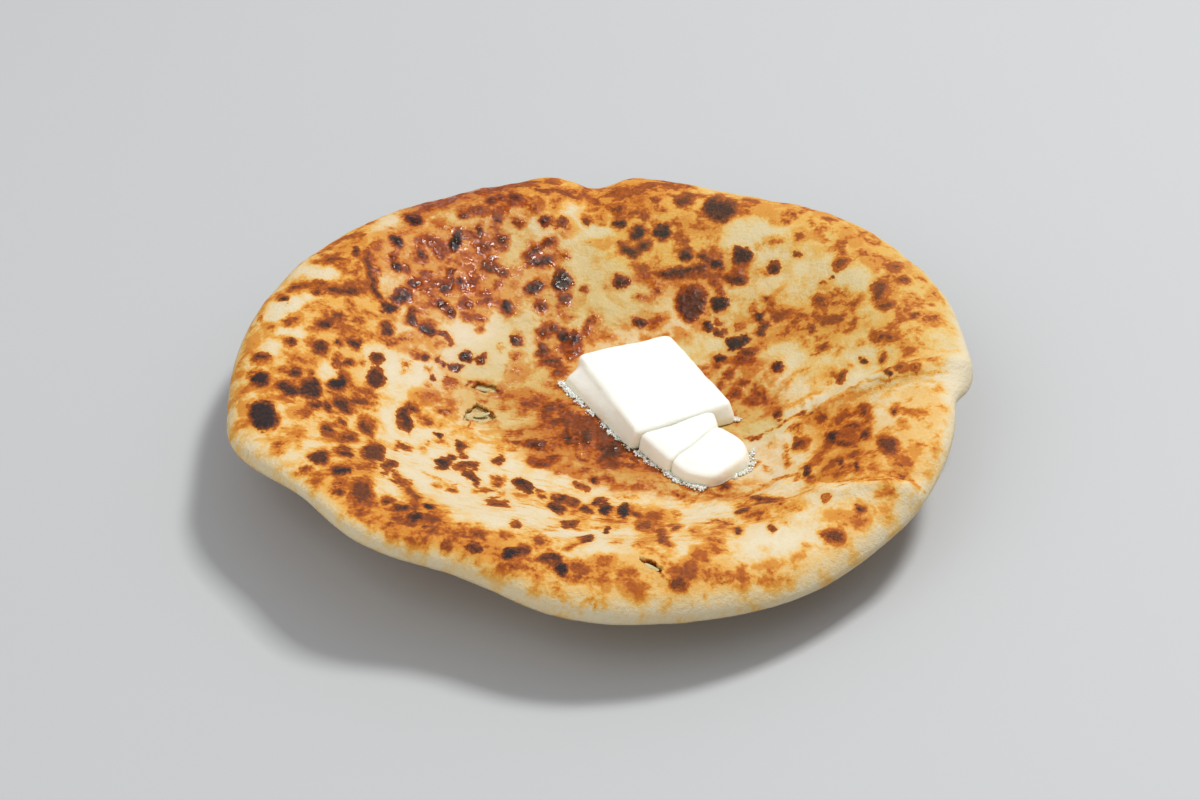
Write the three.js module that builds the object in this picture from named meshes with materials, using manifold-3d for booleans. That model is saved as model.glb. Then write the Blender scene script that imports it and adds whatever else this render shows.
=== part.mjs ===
// A large aloo paratha: a potato-filled flatbread that has sagged into a shallow dish shape, with a slab
// of butter and two slices cut from it melting in the hollow. Units are millimetres, +Z is up, and the
// origin is on the flat middle of the underside. +X is the right-hand side and -Y the near side.
import * as THREE from 'three';
import { mergeVertices } from 'three/addons/utils/BufferGeometryUtils.js';
import Module from 'manifold-3d';

const wasm = await Module();
wasm.setup();

// Driving dimensions of the bread
const bread = {
  radius: 125, // of the edge, before its lobes
  thickness: 6.4, // dough, filling and dough
  edgeExtra: 0.8, // how much thicker the plain edge is
  edgeRound: 4.6, // width of the rounded edge
  flatShare: 0.28, // share of the radius that lies flat
  flatReach: { at: -35, spread: 32, by: 0.16 }, // how much further it lies flat on one side
  climb: 38.5, // how high the side would climb without its droop
  climbPower: 1.3,
  droop: 18.5, // how far the outer edge then drops
  droopShare: 0.76, // share of the radius where the droop starts
};

// The filling runs through the bread and stops short of its edge.
const filling = {
  edgeShare: 0.92, // of the bread's radius
  skin: 1.5, // dough over and under it
  gap: 0.3, // between dough and filling
  edgeHeight: 0.7, // half the height of the pocket at its edge
  edgePower: 8, // how late the pocket tapers
};

// Features round the edge, each a bell curve: at and spread are bearings in degrees.
// Lobes say how far the edge stands out from the circle, in mm.
const lobes = [
  { at: 20, spread: 12, by: 4.0 },
  { at: 46, spread: 10, by: 3.5 },
  { at: 91, spread: 3.5, by: -2.5 },
  { at: 8, spread: 7, by: -1.0 },
  { at: -13, spread: 9, by: -4.5 },
  { at: -42, spread: 14, by: -2.0 },
  { at: 249, spread: 9, by: -8.5 },
  { at: 219, spread: 7, by: -4.0 },
  { at: 199, spread: 6, by: 2.5 },
];

// Shares by which the climb and the droop differ from the mean
const climbWaves = [
  { at: -14, spread: 10, by: -0.17 },
  { at: 32, spread: 16, by: 0.04 },
  { at: 92, spread: 4.5, by: -0.07 },
  { at: 70, spread: 14, by: -0.09 },
  { at: 112, spread: 14, by: -0.07 },
  { at: 232, spread: 22, by: 0.06 },
  { at: 186, spread: 14, by: -0.03 },
  { at: -55, spread: 14, by: -0.04 },
];
const droopWaves = [
  { at: -13, spread: 12, by: -0.55 },
  { at: 222, spread: 18, by: -0.48 },
  { at: -60, spread: 18, by: 0.12 },
];

// How far the plain edge is lifted where folds run out through it, in mm
const edgePulls = [
  { at: 91, spread: 3, by: -2.4 },
  { at: -3, spread: 3.2, by: -2.2 },
  { at: 5, spread: 4, by: 1.6 },
  { at: -31, spread: 3, by: -1.2 },
];

// Broad swells of the whole bread: where, how wide (one standard deviation) and how high, in mm
const swells = [
  { x: 20, y: -97, spread: 15, up: 1.7 },
  { x: 58, y: -86, spread: 14, up: -1.6 },
  { x: -52, y: -74, spread: 17, up: 1.2 },
  { x: 92, y: -30, spread: 16, up: 2.2 },
  { x: -78, y: 52, spread: 20, up: 1.3 },
  { x: -12, y: 88, spread: 14, up: -1.4 },
  { x: 60, y: 62, spread: 18, up: -1.3 },
  { x: -92, y: -8, spread: 16, up: -1.2 },
];

// Folds of the top skin, from the inside out: a line in plan, how wide it is and how far it stands up.
// One with a negative height is a crease. Each fades in from its inner end and is full at the edge.
const folds = [
  { name: 'right pleat', width: 3.2, up: 3.0,
    line: [[46, -16], [61, -15], [74, -11], [85, -8], [98, -6], [112, -3], [126, -1]] },
  { name: 'gutter behind the pleat', width: 4.2, up: -0.6,
    line: [[60, -8], [75, -4], [88, 0], [102, 1], [118, 4]] },
  { name: 'near crease', width: 3.0, up: -0.7,
    line: [[6, -37], [20, -46], [34, -55], [50, -58], [68, -59], [86, -60], [108, -62]] },
  { name: 'lip of the near crease', width: 3.8, up: 2.2,
    line: [[30, -62], [50, -65], [68, -66], [86, -67], [104, -69]] },
  { name: 'far notch', width: 4.5, up: -0.6,
    line: [[-14, 78], [-7, 90], [0, 106], [2, 124]] },
  { name: 'left of the notch', width: 8, up: 1.2,
    line: [[-30, 84], [-22, 98], [-16, 112], [-14, 124]] },
];
const foldFadeIn = 0.35; // share of a fold's length

// Gentle lumps that the filling presses into the top skin: their height and their range of wavelengths
const lumps = { height: 0.28, waves: 9, shortest: 15, longest: 34, seed: 7 };

// Tears in the top skin, where the filling shows, as outlines in plan
const tears = [
  { name: 'torn flap', outline: [[-47, -5], [-39, -4], [-35, 0], [-38, 4], [-42, 6], [-46, 1]] },
  { name: 'thin spot', outline: [[-45, 14], [-40, 12.5], [-35, 14.5], [-36, 17.5], [-41, 18]] },
  { name: 'near slit', outline: [[12, -105.5], [14, -109], [19, -111.5], [19.5, -109.5], [15.5, -106]] },
];

// The butter: the slab and its slices in order from the far end, each with the plan outline of its top
// and, slumped outwards, of its foot, the height of its top above the table, and its lean along x and y
const butter = {
  round: 2.0, // of the upper edges
  gap: 0.3, // to the bread and between the pieces
  pieces: [
    {
      name: 'butter_slab',
      upper: [[12.6, -18], [44.5, -1.5], [24, 38.5], [-6.5, 26]],
      lower: [[10.5, -18], [47, -3], [25, 41], [-18, 20]],
      top: 14.6,
      lean: [0, 0],
      corner: 3,
    },
    {
      name: 'butter_slice_middle',
      upper: [[23.5, -30.5], [39.6, -12.5], [37.2, -6.6], [14.6, -19.5]],
      lower: [[22.5, -31.5], [41, -12.5], [38, -5.5], [12.5, -19.5]],
      top: 12.9,
      lean: [0, 0.07],
      corner: 2.6,
    },
    {
      name: 'butter_slice_end',
      upper: [[30.5, -36.8], [37.4, -38], [48.4, -28.7], [48.7, -21.3], [40.6, -15], [24.7, -31.6]],
      lower: [[29.5, -37.4], [38, -38.4], [50, -29], [50.7, -20], [41.5, -13.5], [23.6, -32]],
      top: 12.0,
      lean: [0, 0.14],
      corner: 3,
    },
  ],
};

// Mesh density
const topRings = 30; // ring k has 6k points
const edgeSteps = 4; // rows round the rounded edge
const underRings = [[0.9, 132], [0.8, 108], [0.7, 90], [0.6, 72], [0.5, 60], [0.4, 48], [0.28, 36]];
const pocketRings = 12; // ring k has 6k points
const foldSteps = 24; // along each fold's line
const butterPoints = 32; // round each piece

const materials = {
  dough: new THREE.MeshStandardMaterial({ color: 0xd9a95c, roughness: 0.62, metalness: 0 }),
  potato: new THREE.MeshStandardMaterial({ color: 0xd8c27a, roughness: 0.7, metalness: 0 }),
  butter: new THREE.MeshStandardMaterial({ color: 0xfbf6e0, roughness: 0.35, metalness: 0 }),
};

const TURN = 2 * Math.PI;
const clamp01 = (t) => Math.min(1, Math.max(0, t));
const ramp = (from, to, t) => THREE.MathUtils.smoothstep(t, from, to);
const bell = (distance, spread) => Math.exp(-0.5 * (distance / spread) ** 2);

// Degrees from one bearing to another, the short way round
const bearingGap = (a, b) => ((((a - b + 180) % 360) + 360) % 360) - 180;

// The sum of features round the edge at an angle in radians
const roundTheEdge = (features, angle) => {
  const degrees = THREE.MathUtils.radToDeg(angle);
  return features.reduce((sum, f) => sum + f.by * bell(bearingGap(degrees, f.at), f.spread), 0);
};

const edgeRadius = (angle) => bread.radius + roundTheEdge(lobes, angle);
const flatShareAt = (angle) => bread.flatShare + roundTheEdge([bread.flatReach], angle);

// A point at a share of the radius along a bearing
const at = (share, angle, height) => {
  const r = share * edgeRadius(angle);
  return [r * Math.cos(angle), r * Math.sin(angle), height];
};

// Height of the middle of the bread's thickness: flat, then climbing, then drooping towards the edge
function middleHeight(share, angle) {
  const flat = flatShareAt(angle);
  const climb = bread.climb * (1 + roundTheEdge(climbWaves, angle));
  const droop = bread.droop * (1 + roundTheEdge(droopWaves, angle));
  const rise = clamp01((share - flat) / (1 - flat)) ** bread.climbPower;
  const fall = clamp01((share - bread.droopShare) / (1 - bread.droopShare)) ** 2;
  const [x, y] = at(share, angle, 0);
  const swell = swells.reduce((sum, s) => sum + s.up * bell(Math.hypot(x - s.x, y - s.y), s.spread), 0);
  const pull = roundTheEdge(edgePulls, angle) * ramp(filling.edgeShare - 0.04, 1, share);
  return bread.thickness / 2 + climb * rise - droop * fall + ramp(flat, flat + 0.25, share) * swell + pull;
}

const middleUnder = ({ x, y }) => {
  const angle = Math.atan2(y, x);
  return middleHeight(Math.hypot(x, y) / edgeRadius(angle), angle);
};

const halfThickness = (share) => (bread.thickness + bread.edgeExtra * ramp(0.84, 0.97, share)) / 2;

// A seeded random number from 0 to 1, the same on every run
function seeded(seed) {
  let state = seed;
  return () => {
    state = (state * 16807) % 2147483647;
    return state / 2147483647;
  };
}

const draw = seeded(lumps.seed);
const lumpWaves = Array.from({ length: lumps.waves }, () => {
  const perMillimetre = TURN / THREE.MathUtils.lerp(lumps.shortest, lumps.longest, draw());
  const bearing = draw() * TURN;
  return { x: perMillimetre * Math.cos(bearing), y: perMillimetre * Math.sin(bearing), phase: draw() * TURN };
});
const lumpHeight = (x, y) => {
  const sum = lumpWaves.reduce((total, wave) => total + Math.sin(wave.x * x + wave.y * y + wave.phase), 0);
  return (lumps.height * sum) / Math.sqrt(lumps.waves);
};

// Each fold's line as closely spaced points
const foldPaths = folds.map(({ line }) => {
  const points = line.map(([x, y]) => new THREE.Vector3(x, y, 0));
  return new THREE.CatmullRomCurve3(points).getPoints(foldSteps);
});

function foldHeight(x, y) {
  const here = new THREE.Vector3(x, y, 0);
  return folds.reduce((sum, fold, i) => {
    const distances = foldPaths[i].map((p) => p.distanceTo(here));
    const nearest = Math.min(...distances);
    const along = distances.indexOf(nearest) / foldSteps;
    return sum + fold.up * bell(nearest, fold.width) * ramp(0, foldFadeIn, along);
  }, 0);
}

function topPoint(share, angle) {
  const [x, y] = at(share, angle, 0);
  return [x, y, middleHeight(share, angle) + halfThickness(share) + lumpHeight(x, y) + foldHeight(x, y)];
}

const underPoint = (share, angle) =>
  at(share, angle, share <= flatShareAt(angle) ? 0 : middleHeight(share, angle) - halfThickness(share));

// A point of the rounded edge: turn runs from 1 at the top to -1 at the underside
function edgePoint(turn, angle) {
  const lift = Math.sin((turn * Math.PI) / 2);
  const inner = 1 - bread.edgeRound / edgeRadius(angle);
  const share = THREE.MathUtils.lerp(inner, 1, Math.cos((turn * Math.PI) / 2));
  const [x, y] = at(share, angle, 0);
  const relief = (lumpHeight(x, y) + foldHeight(x, y)) * clamp01(lift);
  return [x, y, middleHeight(share, angle) + halfThickness(share) * lift + relief];
}

// Triangles between two rings of points that run round together, stepping along the one that is behind.
// A ring of one point is a pole.
function stitch(inner, outer) {
  const steps = (ring) => (ring.count === 1 ? 0 : ring.count);
  const index = (ring, i) => ring.start + (i % ring.count);
  const faces = [];
  let i = 0;
  let j = 0;
  while (i < steps(inner) || j < steps(outer)) {
    const outerIsBehind = j < steps(outer) && (j + 1) / outer.count <= (i + 1) / inner.count;
    const corners = [index(inner, i), index(outer, j)];
    if (i === steps(inner) || outerIsBehind) {
      j += 1;
      faces.push(...corners, index(outer, j));
    } else {
      i += 1;
      faces.push(...corners, index(inner, i));
    }
  }
  return faces;
}

// A closed solid over a list of rings, each { count, point(angle) }, from a pole to a pole
function solidOverRings(rings) {
  const positions = [];
  const placed = rings.map(({ count, point }) => {
    const start = positions.length / 3;
    for (let i = 0; i < count; i += 1) positions.push(...point((i / count) * TURN));
    return { count, start };
  });
  const geometry = new THREE.BufferGeometry();
  geometry.setAttribute('position', new THREE.Float32BufferAttribute(positions, 3));
  geometry.setIndex(placed.slice(1).flatMap((ring, k) => stitch(placed[k], ring)));
  return solidOf(geometry);
}

// Closed geometry to a solid, and back
function solidOf(geometry) {
  return new wasm.Manifold(new wasm.Mesh({
    numProp: 3,
    vertProperties: geometry.getAttribute('position').array,
    triVerts: new Uint32Array(geometry.index.array),
  }));
}
function geometryOf(solid) {
  const { vertProperties, triVerts } = solid.getMesh();
  const geometry = new THREE.BufferGeometry();
  geometry.setAttribute('position', new THREE.BufferAttribute(vertProperties, 3));
  geometry.setIndex(new THREE.BufferAttribute(triVerts, 1));
  geometry.computeVertexNormals();
  return geometry;
}

// The whole bread: its top from the middle out, round the edge, and back underneath
function breadSolid() {
  const rings = [{ count: 1, point: () => topPoint(0, 0) }];
  for (let k = 1; k <= topRings; k += 1) {
    const share = (angle) => (k / topRings) * (1 - bread.edgeRound / edgeRadius(angle));
    rings.push({ count: 6 * k, point: (angle) => topPoint(share(angle), angle) });
  }
  for (let k = 1; k <= edgeSteps; k += 1) {
    const turn = 1 - (2 * k) / edgeSteps;
    rings.push({ count: 6 * topRings, point: (angle) => edgePoint(turn, angle) });
  }
  underRings.forEach(([share, count]) => rings.push({ count, point: (angle) => underPoint(share, angle) }));
  rings.push({ count: 1, point: () => underPoint(0, 0) });
  return solidOverRings(rings);
}

// The pocket that the filling lies in, or the filling itself once it is taken in by the gap
function fillingSolid(takenIn) {
  const fullHeight = bread.thickness / 2 - filling.skin;
  const ring = (k, side) => {
    const part = k / pocketRings;
    const height = THREE.MathUtils.lerp(fullHeight, filling.edgeHeight, part ** filling.edgePower) - takenIn;
    const share = (angle) => part * (filling.edgeShare - takenIn / edgeRadius(angle));
    const point = (angle) => at(share(angle), angle, middleHeight(share(angle), angle) + side * height);
    return { count: Math.max(1, 6 * k), point };
  };
  const upper = Array.from({ length: pocketRings + 1 }, (_, k) => ring(k, 1));
  const lower = Array.from({ length: pocketRings + 1 }, (_, k) => ring(k, -1));
  return solidOverRings([...upper, ...lower.reverse()]);
}

// A cutter that opens a tear down to the middle of the filling's pocket, whose slope it follows
function tearSolid({ outline }) {
  const shape = new THREE.Shape(outline.map(([x, y]) => new THREE.Vector2(x, y)));
  const prism = new THREE.ExtrudeGeometry(shape, { depth: bread.thickness, bevelEnabled: false });
  prism.deleteAttribute('normal');
  prism.deleteAttribute('uv');
  const positions = prism.getAttribute('position');
  for (let i = 0; i < positions.count; i += 1) {
    const p = new THREE.Vector3().fromBufferAttribute(positions, i);
    positions.setZ(i, p.z + middleUnder(p));
  }
  return solidOf(mergeVertices(prism, 0.001));
}

// A polygon with rounded corners, as evenly spaced points
function roundedOutline(corners, radius, count) {
  const points = corners.map(([x, y]) => new THREE.Vector2(x, y));
  const towards = (p, q) => q.clone().sub(p).setLength(radius).add(p);
  const path = new THREE.Path();
  points.forEach((p, i) => {
    const before = towards(p, points.at(i - 1));
    const after = towards(p, points[(i + 1) % points.length]);
    if (i === 0) path.moveTo(before.x, before.y);
    else path.lineTo(before.x, before.y);
    path.quadraticCurveTo(p.x, p.y, after.x, after.y);
  });
  path.closePath();
  return path.getSpacedPoints(count);
}

// One piece of butter as a rounded block down to the middle of the bread, larger all round by what it
// is grown
function butterBlock({ upper, lower, top, lean, corner }, grown) {
  const topOutline = roundedOutline(upper, corner, butterPoints);
  const footOutline = roundedOutline(lower, corner, butterPoints);
  const middle = new THREE.Box2().setFromPoints(topOutline).getCenter(new THREE.Vector2());
  const heightAt = (height, p) => height + grown + lean[0] * (p.x - middle.x) + lean[1] * (p.y - middle.y);

  // A ring at a share of the way down from the upper edge to the foot, and taken in from there
  const ring = (height, down, takenIn) => ({
    count: butterPoints,
    point: (angle) => {
      const i = Math.round((angle / TURN) * butterPoints);
      const p = topOutline[i].clone().lerp(footOutline[i], down);
      p.add(p.clone().sub(middle).setLength(grown - takenIn));
      return [p.x, p.y, down === 1 ? middleUnder(p) - grown : heightAt(height, p)];
    },
  });
  const { round } = butter;
  return solidOverRings([
    { count: 1, point: () => [middle.x, middle.y, heightAt(top, middle)] },
    ring(top, 0, 2 * round),
    ring(top - 0.12 * round, 0, 0.9 * round),
    ring(top - 0.45 * round, 0, 0.25 * round),
    ring(top - round, 0.1, 0),
    ring(0.62 * top, 0.55, 0),
    ring(0, 1, 0),
    { count: 1, point: () => [middle.x, middle.y, middleUnder(middle) - grown] },
  ]);
}

// Each piece lies on the bread and keeps clear of the piece that it was cut from
function butterSolid(piece, cutFrom, loaf) {
  const onBread = butterBlock(piece, 0).subtract(loaf.translate([0, 0, butter.gap]));
  return cutFrom ? onBread.subtract(butterBlock(cutFrom, butter.gap)) : onBread;
}

function meshOf(name, solid, material) {
  const mesh = new THREE.Mesh(geometryOf(solid), material);
  mesh.name = name;
  return mesh;
}

const loaf = breadSolid();
const shell = loaf.subtract(fillingSolid(0));
const dough = tears.reduce((solid, tear) => solid.subtract(tearSolid(tear)), shell);

const paratha = new THREE.Group();
paratha.add(meshOf('dough', dough, materials.dough));
paratha.add(meshOf('potato_filling', fillingSolid(filling.gap), materials.potato));
butter.pieces.forEach((piece, i) => {
  const solid = butterSolid(piece, butter.pieces[i - 1], loaf);
  paratha.add(meshOf(piece.name, solid, materials.butter));
});

export default paratha;
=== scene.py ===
"""An aloo paratha with butter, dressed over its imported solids.

Units are metres in the scene. The forms below repeat the solids' named sizes in millimetres, and
every mesh is scaled to metres when it is made.
"""

import logging
import math
from collections.abc import Sequence
from dataclasses import dataclass, field
from enum import Enum
from typing import NamedTuple

import bmesh
import bpy
import numpy as np
from mathutils import Matrix, Vector, noise


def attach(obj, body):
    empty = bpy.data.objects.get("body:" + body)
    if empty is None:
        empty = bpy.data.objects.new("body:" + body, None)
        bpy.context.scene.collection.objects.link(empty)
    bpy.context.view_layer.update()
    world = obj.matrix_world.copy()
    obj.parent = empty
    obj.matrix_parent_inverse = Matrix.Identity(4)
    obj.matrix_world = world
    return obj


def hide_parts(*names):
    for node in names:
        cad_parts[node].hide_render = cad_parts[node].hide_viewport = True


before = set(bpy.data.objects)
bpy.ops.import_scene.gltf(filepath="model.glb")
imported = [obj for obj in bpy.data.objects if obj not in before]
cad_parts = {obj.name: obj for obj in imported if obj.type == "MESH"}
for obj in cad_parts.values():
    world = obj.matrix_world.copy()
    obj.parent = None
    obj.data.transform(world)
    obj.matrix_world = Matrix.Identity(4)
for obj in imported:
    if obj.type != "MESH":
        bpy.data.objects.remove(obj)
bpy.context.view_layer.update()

LOG = logging.getLogger("paratha")
MM = 0.001
NOISE_ROUGHNESS = 0.8
NOISE_STEP = 2.0
NOISE_SKEW = 0.37
TINY = 1e-9
SMALL = 1e-6
NEARLY_ONE = 0.999
CORNER_STEPS = 12
Array = np.ndarray
Point = tuple[float, float]
Span = tuple[float, float]
Colour = tuple[float, float, float]
Socket = bpy.types.NodeSocket
Number = float | Socket


class Slot(Enum):
    """The material slots of the part's record."""

    DOUGH = "griddled_dough"
    POTATO = "spiced_potato"
    BUTTER = "butter"


# Curves and small helpers


def smoothstep(low: float, high: float, value: Array) -> Array:
    """A smooth step from 0 at low to 1 at high.

    Args:
        low: where the step starts.
        high: where it ends.
        value: the numbers to judge.

    Returns:
        The step at each number.
    """
    t = np.clip((value - low) / (high - low), 0.0, 1.0)
    return t * t * (3.0 - 2.0 * t)


def bell(distance: Array, spread: float) -> Array:
    """A bell curve of height 1 over a distance, with its standard deviation."""
    return np.exp(-0.5 * (distance / spread) ** 2)


def spun_noise(points: Array, wavelength: float, octaves: int, seed: float) -> Array:
    """Fractal noise about 0 at points, the same on every run.

    Args:
        points: places in millimetres, one row each.
        wavelength: the size of the largest lumps in millimetres.
        octaves: how many finer layers it has.
        seed: how far the pattern is shifted.

    Returns:
        One number for each point, mostly from -1 to 1.
    """
    shift = Vector((seed, -seed, NOISE_SKEW * seed))
    scaled = points / wavelength
    rule = (NOISE_ROUGHNESS, NOISE_STEP, octaves)
    return np.array([noise.fractal(Vector(p) + shift, *rule) for p in scaled])


def drawn(draw: np.random.Generator, span: Span, power: float = 1.0) -> float:
    """A random number within a span, more often low for a higher power."""
    return span[0] + (span[1] - span[0]) * draw.random() ** power


def catmull_rom(corners: Sequence[Point], steps: int) -> Array:
    """A centripetal curve through corners.

    Args:
        corners: points in plan.
        steps: how many steps the whole curve takes.

    Returns:
        The curve's points, one row each.
    """
    given = np.array(corners, float)
    knots = np.vstack([2 * given[0] - given[1], given, 2 * given[-1] - given[-2]])
    curve = []
    for step in range(steps + 1):
        along = (len(given) - 1) * step / steps
        first = min(int(along), len(given) - 2)
        p = knots[first : first + 4]
        times = np.concatenate([[0.0], np.cumsum(np.sqrt(np.hypot(*np.diff(p, axis=0).T)))])
        t = times[1] + (along - first) * (times[2] - times[1])

        def between(a: Array, b: Array, start: float, end: float) -> Array:
            """A point between two others at time t."""
            return a + (b - a) * (t - start) / (end - start)

        low = [between(p[i], p[i + 1], times[i], times[i + 1]) for i in range(3)]
        mid = [between(low[i], low[i + 1], times[i], times[i + 2]) for i in range(2)]
        curve.append(between(mid[0], mid[1], times[1], times[2]))
    return np.array(curve)


def distance_to_path(x: Array, y: Array, path: Array) -> tuple[Array, Array]:
    """How far points lie from a path of straight steps.

    Args:
        x: the points' first coordinates.
        y: their second ones.
        path: the path's points, one row each.

    Returns:
        The distance, and the share of the path's steps at the nearest place.
    """
    best = np.full(x.shape, np.inf)
    along = np.zeros(x.shape)
    for i, (start, end) in enumerate(zip(path[:-1], path[1:])):
        step = end - start
        t = ((x - start[0]) * step[0] + (y - start[1]) * step[1]) / max(step @ step, TINY)
        t = np.clip(t, 0.0, 1.0)
        away = np.hypot(x - start[0] - t * step[0], y - start[1] - t * step[1])
        nearer = away < best
        best = np.where(nearer, away, best)
        along = np.where(nearer, (i + t) / (len(path) - 1), along)
    return best, along


# The bread's form


class Bell(NamedTuple):
    """A feature round the edge: a bell curve over its bearing, in degrees."""

    at: float
    spread: float
    by: float


class Swell(NamedTuple):
    """A broad swell of the whole bread, in millimetres."""

    x: float
    y: float
    spread: float
    up: float


class Fold(NamedTuple):
    """A fold of the top skin along a line in plan, in millimetres."""

    width: float
    up: float
    line: tuple[Point, ...]


class Tear(NamedTuple):
    """A tear in the top skin, as an outline in plan in millimetres."""

    name: str
    outline: tuple[Point, ...]


def round_the_edge(bells: Sequence[Bell], angle: Array) -> Array:
    """The sum of features round the edge.

    Args:
        bells: the features.
        angle: bearings in radians.

    Returns:
        Their sum at each bearing.
    """
    degrees = np.degrees(angle)
    total = np.zeros(np.shape(angle))
    for feature in bells:
        gap = (degrees - feature.at + 180.0) % 360.0 - 180.0
        total = total + feature.by * bell(gap, feature.spread)
    return total


@dataclass(frozen=True)
class BreadForm:
    """The bread's skins as heights over a share of the radius and a bearing, in millimetres."""

    radius: float = 125.0
    thickness: float = 6.4
    edge_extra: float = 0.8
    edge_extra_span: Span = (0.84, 0.97)
    edge_round: float = 4.6
    flat_share: float = 0.28
    flat_reach: Bell = Bell(-35, 32, 0.16)
    climb: float = 38.5
    climb_power: float = 1.3
    droop: float = 18.5
    droop_share: float = 0.76
    droop_power: int = 2
    swell_fade: float = 0.25
    pull_lead: float = 0.04
    filling_share: float = 0.92
    skin: float = 1.5
    gap: float = 0.3
    pocket_edge: float = 0.7
    pocket_power: float = 8.0
    lump_height: float = 0.28
    lump_waves: int = 9
    lump_shortest: float = 15.0
    lump_longest: float = 34.0
    lump_seed: int = 7
    fold_fade: float = 0.35
    fold_steps: int = 48
    draw_factor: int = 16807
    draw_range: int = 2147483647
    lobes: tuple[Bell, ...] = (
        Bell(20, 12, 4.0), Bell(46, 10, 3.5), Bell(91, 3.5, -2.5), Bell(8, 7, -1.0), Bell(-13, 9, -4.5),
        Bell(-42, 14, -2.0), Bell(249, 9, -8.5), Bell(219, 7, -4.0), Bell(199, 6, 2.5),
    )
    climb_waves: tuple[Bell, ...] = (
        Bell(-14, 10, -0.17), Bell(32, 16, 0.04), Bell(92, 4.5, -0.07), Bell(70, 14, -0.09),
        Bell(112, 14, -0.07), Bell(232, 22, 0.06), Bell(186, 14, -0.03), Bell(-55, 14, -0.04),
    )
    droop_waves: tuple[Bell, ...] = (Bell(-13, 12, -0.55), Bell(222, 18, -0.48), Bell(-60, 18, 0.12))
    edge_pulls: tuple[Bell, ...] = (
        Bell(91, 3, -2.4), Bell(-3, 3.2, -2.2), Bell(5, 4, 1.6), Bell(-31, 3, -1.2),
    )
    edge_tucks: tuple[Bell, ...] = (
        Bell(-1.5, 3.4, 2.4), Bell(-8.6, 2.2, -1.5), Bell(-19, 5, 0.9), Bell(-38, 3, 0.6),
    )
    tuck_span: Span = (0.80, 0.98)
    swells: tuple[Swell, ...] = (
        Swell(20, -97, 15, 1.7), Swell(58, -86, 14, -1.6), Swell(-52, -74, 17, 1.2),
        Swell(92, -30, 16, 2.2), Swell(-78, 52, 20, 1.3), Swell(-12, 88, 14, -1.4),
        Swell(60, 62, 18, -1.3), Swell(-92, -8, 16, -1.2),
    )
    folds: tuple[Fold, ...] = (
        # the right pleat and the gutter behind it
        Fold(3.2, 3.0, ((46, -16), (61, -15), (74, -11), (85, -8), (98, -6), (112, -3), (126, -1))),
        Fold(4.2, -0.6, ((60, -8), (75, -4), (88, 0), (102, 1), (118, 4))),
        # the near crease and its lip
        Fold(3.0, -0.7, ((6, -37), (20, -46), (34, -55), (50, -58), (68, -59), (86, -60), (108, -62))),
        Fold(3.8, 2.2, ((30, -62), (50, -65), (68, -66), (86, -67), (104, -69))),
        # the far notch and the swell on its left
        Fold(4.5, -0.6, ((-14, 78), (-7, 90), (0, 106), (2, 124))),
        Fold(8.0, 1.2, ((-30, 84), (-22, 98), (-16, 112), (-14, 124))),
    )
    tears: tuple[Tear, ...] = (
        Tear("torn flap", ((-47, -5), (-39, -4), (-35, 0), (-38, 4), (-42, 6), (-46, 1))),
        Tear("thin spot", ((-45, 14), (-40, 12.5), (-35, 14.5), (-36, 17.5), (-41, 18))),
        Tear("near slit", ((12, -105.5), (14, -109), (19, -111.5), (19.5, -109.5), (15.5, -106))),
    )

    def edge_radius(self, angle: Array) -> Array:
        """The edge's radius with its lobes, at bearings in radians."""
        return self.radius + round_the_edge(self.lobes, angle)

    def tucks(self, share: Array, angle: Array) -> Array:
        """How far the edge's fine tucks push places outwards, in millimetres."""
        return round_the_edge(self.edge_tucks, angle) * smoothstep(*self.tuck_span, share)

    def flat_to(self, angle: Array) -> Array:
        """The share of the radius that lies flat, at bearings in radians."""
        return self.flat_share + round_the_edge((self.flat_reach,), angle)

    def middle(self, share: Array, angle: Array) -> Array:
        """The height of the middle of the bread's thickness.

        Args:
            share: shares of the radius.
            angle: bearings in radians.

        Returns:
            The heights in millimetres.
        """
        flat = self.flat_to(angle)
        climb = self.climb * (1 + round_the_edge(self.climb_waves, angle))
        droop = self.droop * (1 + round_the_edge(self.droop_waves, angle))
        rise = np.clip((share - flat) / (1 - flat), 0, 1) ** self.climb_power
        fall = np.clip((share - self.droop_share) / (1 - self.droop_share), 0, 1) ** self.droop_power
        reach = share * self.edge_radius(angle)
        x, y = reach * np.cos(angle), reach * np.sin(angle)
        swell = sum(s.up * bell(np.hypot(x - s.x, y - s.y), s.spread) for s in self.swells)
        swell = swell * smoothstep(0.0, self.swell_fade, share - flat)
        pulled = smoothstep(self.filling_share - self.pull_lead, 1.0, share)
        pull = round_the_edge(self.edge_pulls, angle) * pulled
        return self.thickness / 2 + climb * rise - droop * fall + swell + pull

    def half_thickness(self, share: Array) -> Array:
        """Half the bread's thickness at shares of the radius."""
        return (self.thickness + self.edge_extra * smoothstep(*self.edge_extra_span, share)) / 2

    def lumps(self, x: Array, y: Array) -> Array:
        """The gentle lumps that the filling presses into the top skin.

        Args:
            x: places across, in millimetres.
            y: places away from the camera, in millimetres.

        Returns:
            Their height in millimetres.
        """
        state = self.lump_seed
        draws = []
        for _ in range(3 * self.lump_waves):
            state = state * self.draw_factor % self.draw_range
            draws.append(state / self.draw_range)
        total = np.zeros(np.shape(x))
        for length, bearing, phase in zip(draws[0::3], draws[1::3], draws[2::3]):
            pace = math.tau / (self.lump_shortest + (self.lump_longest - self.lump_shortest) * length)
            turn = bearing * math.tau
            total = total + np.sin(pace * (math.cos(turn) * x + math.sin(turn) * y) + phase * math.tau)
        return self.lump_height * total / math.sqrt(self.lump_waves)

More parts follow.
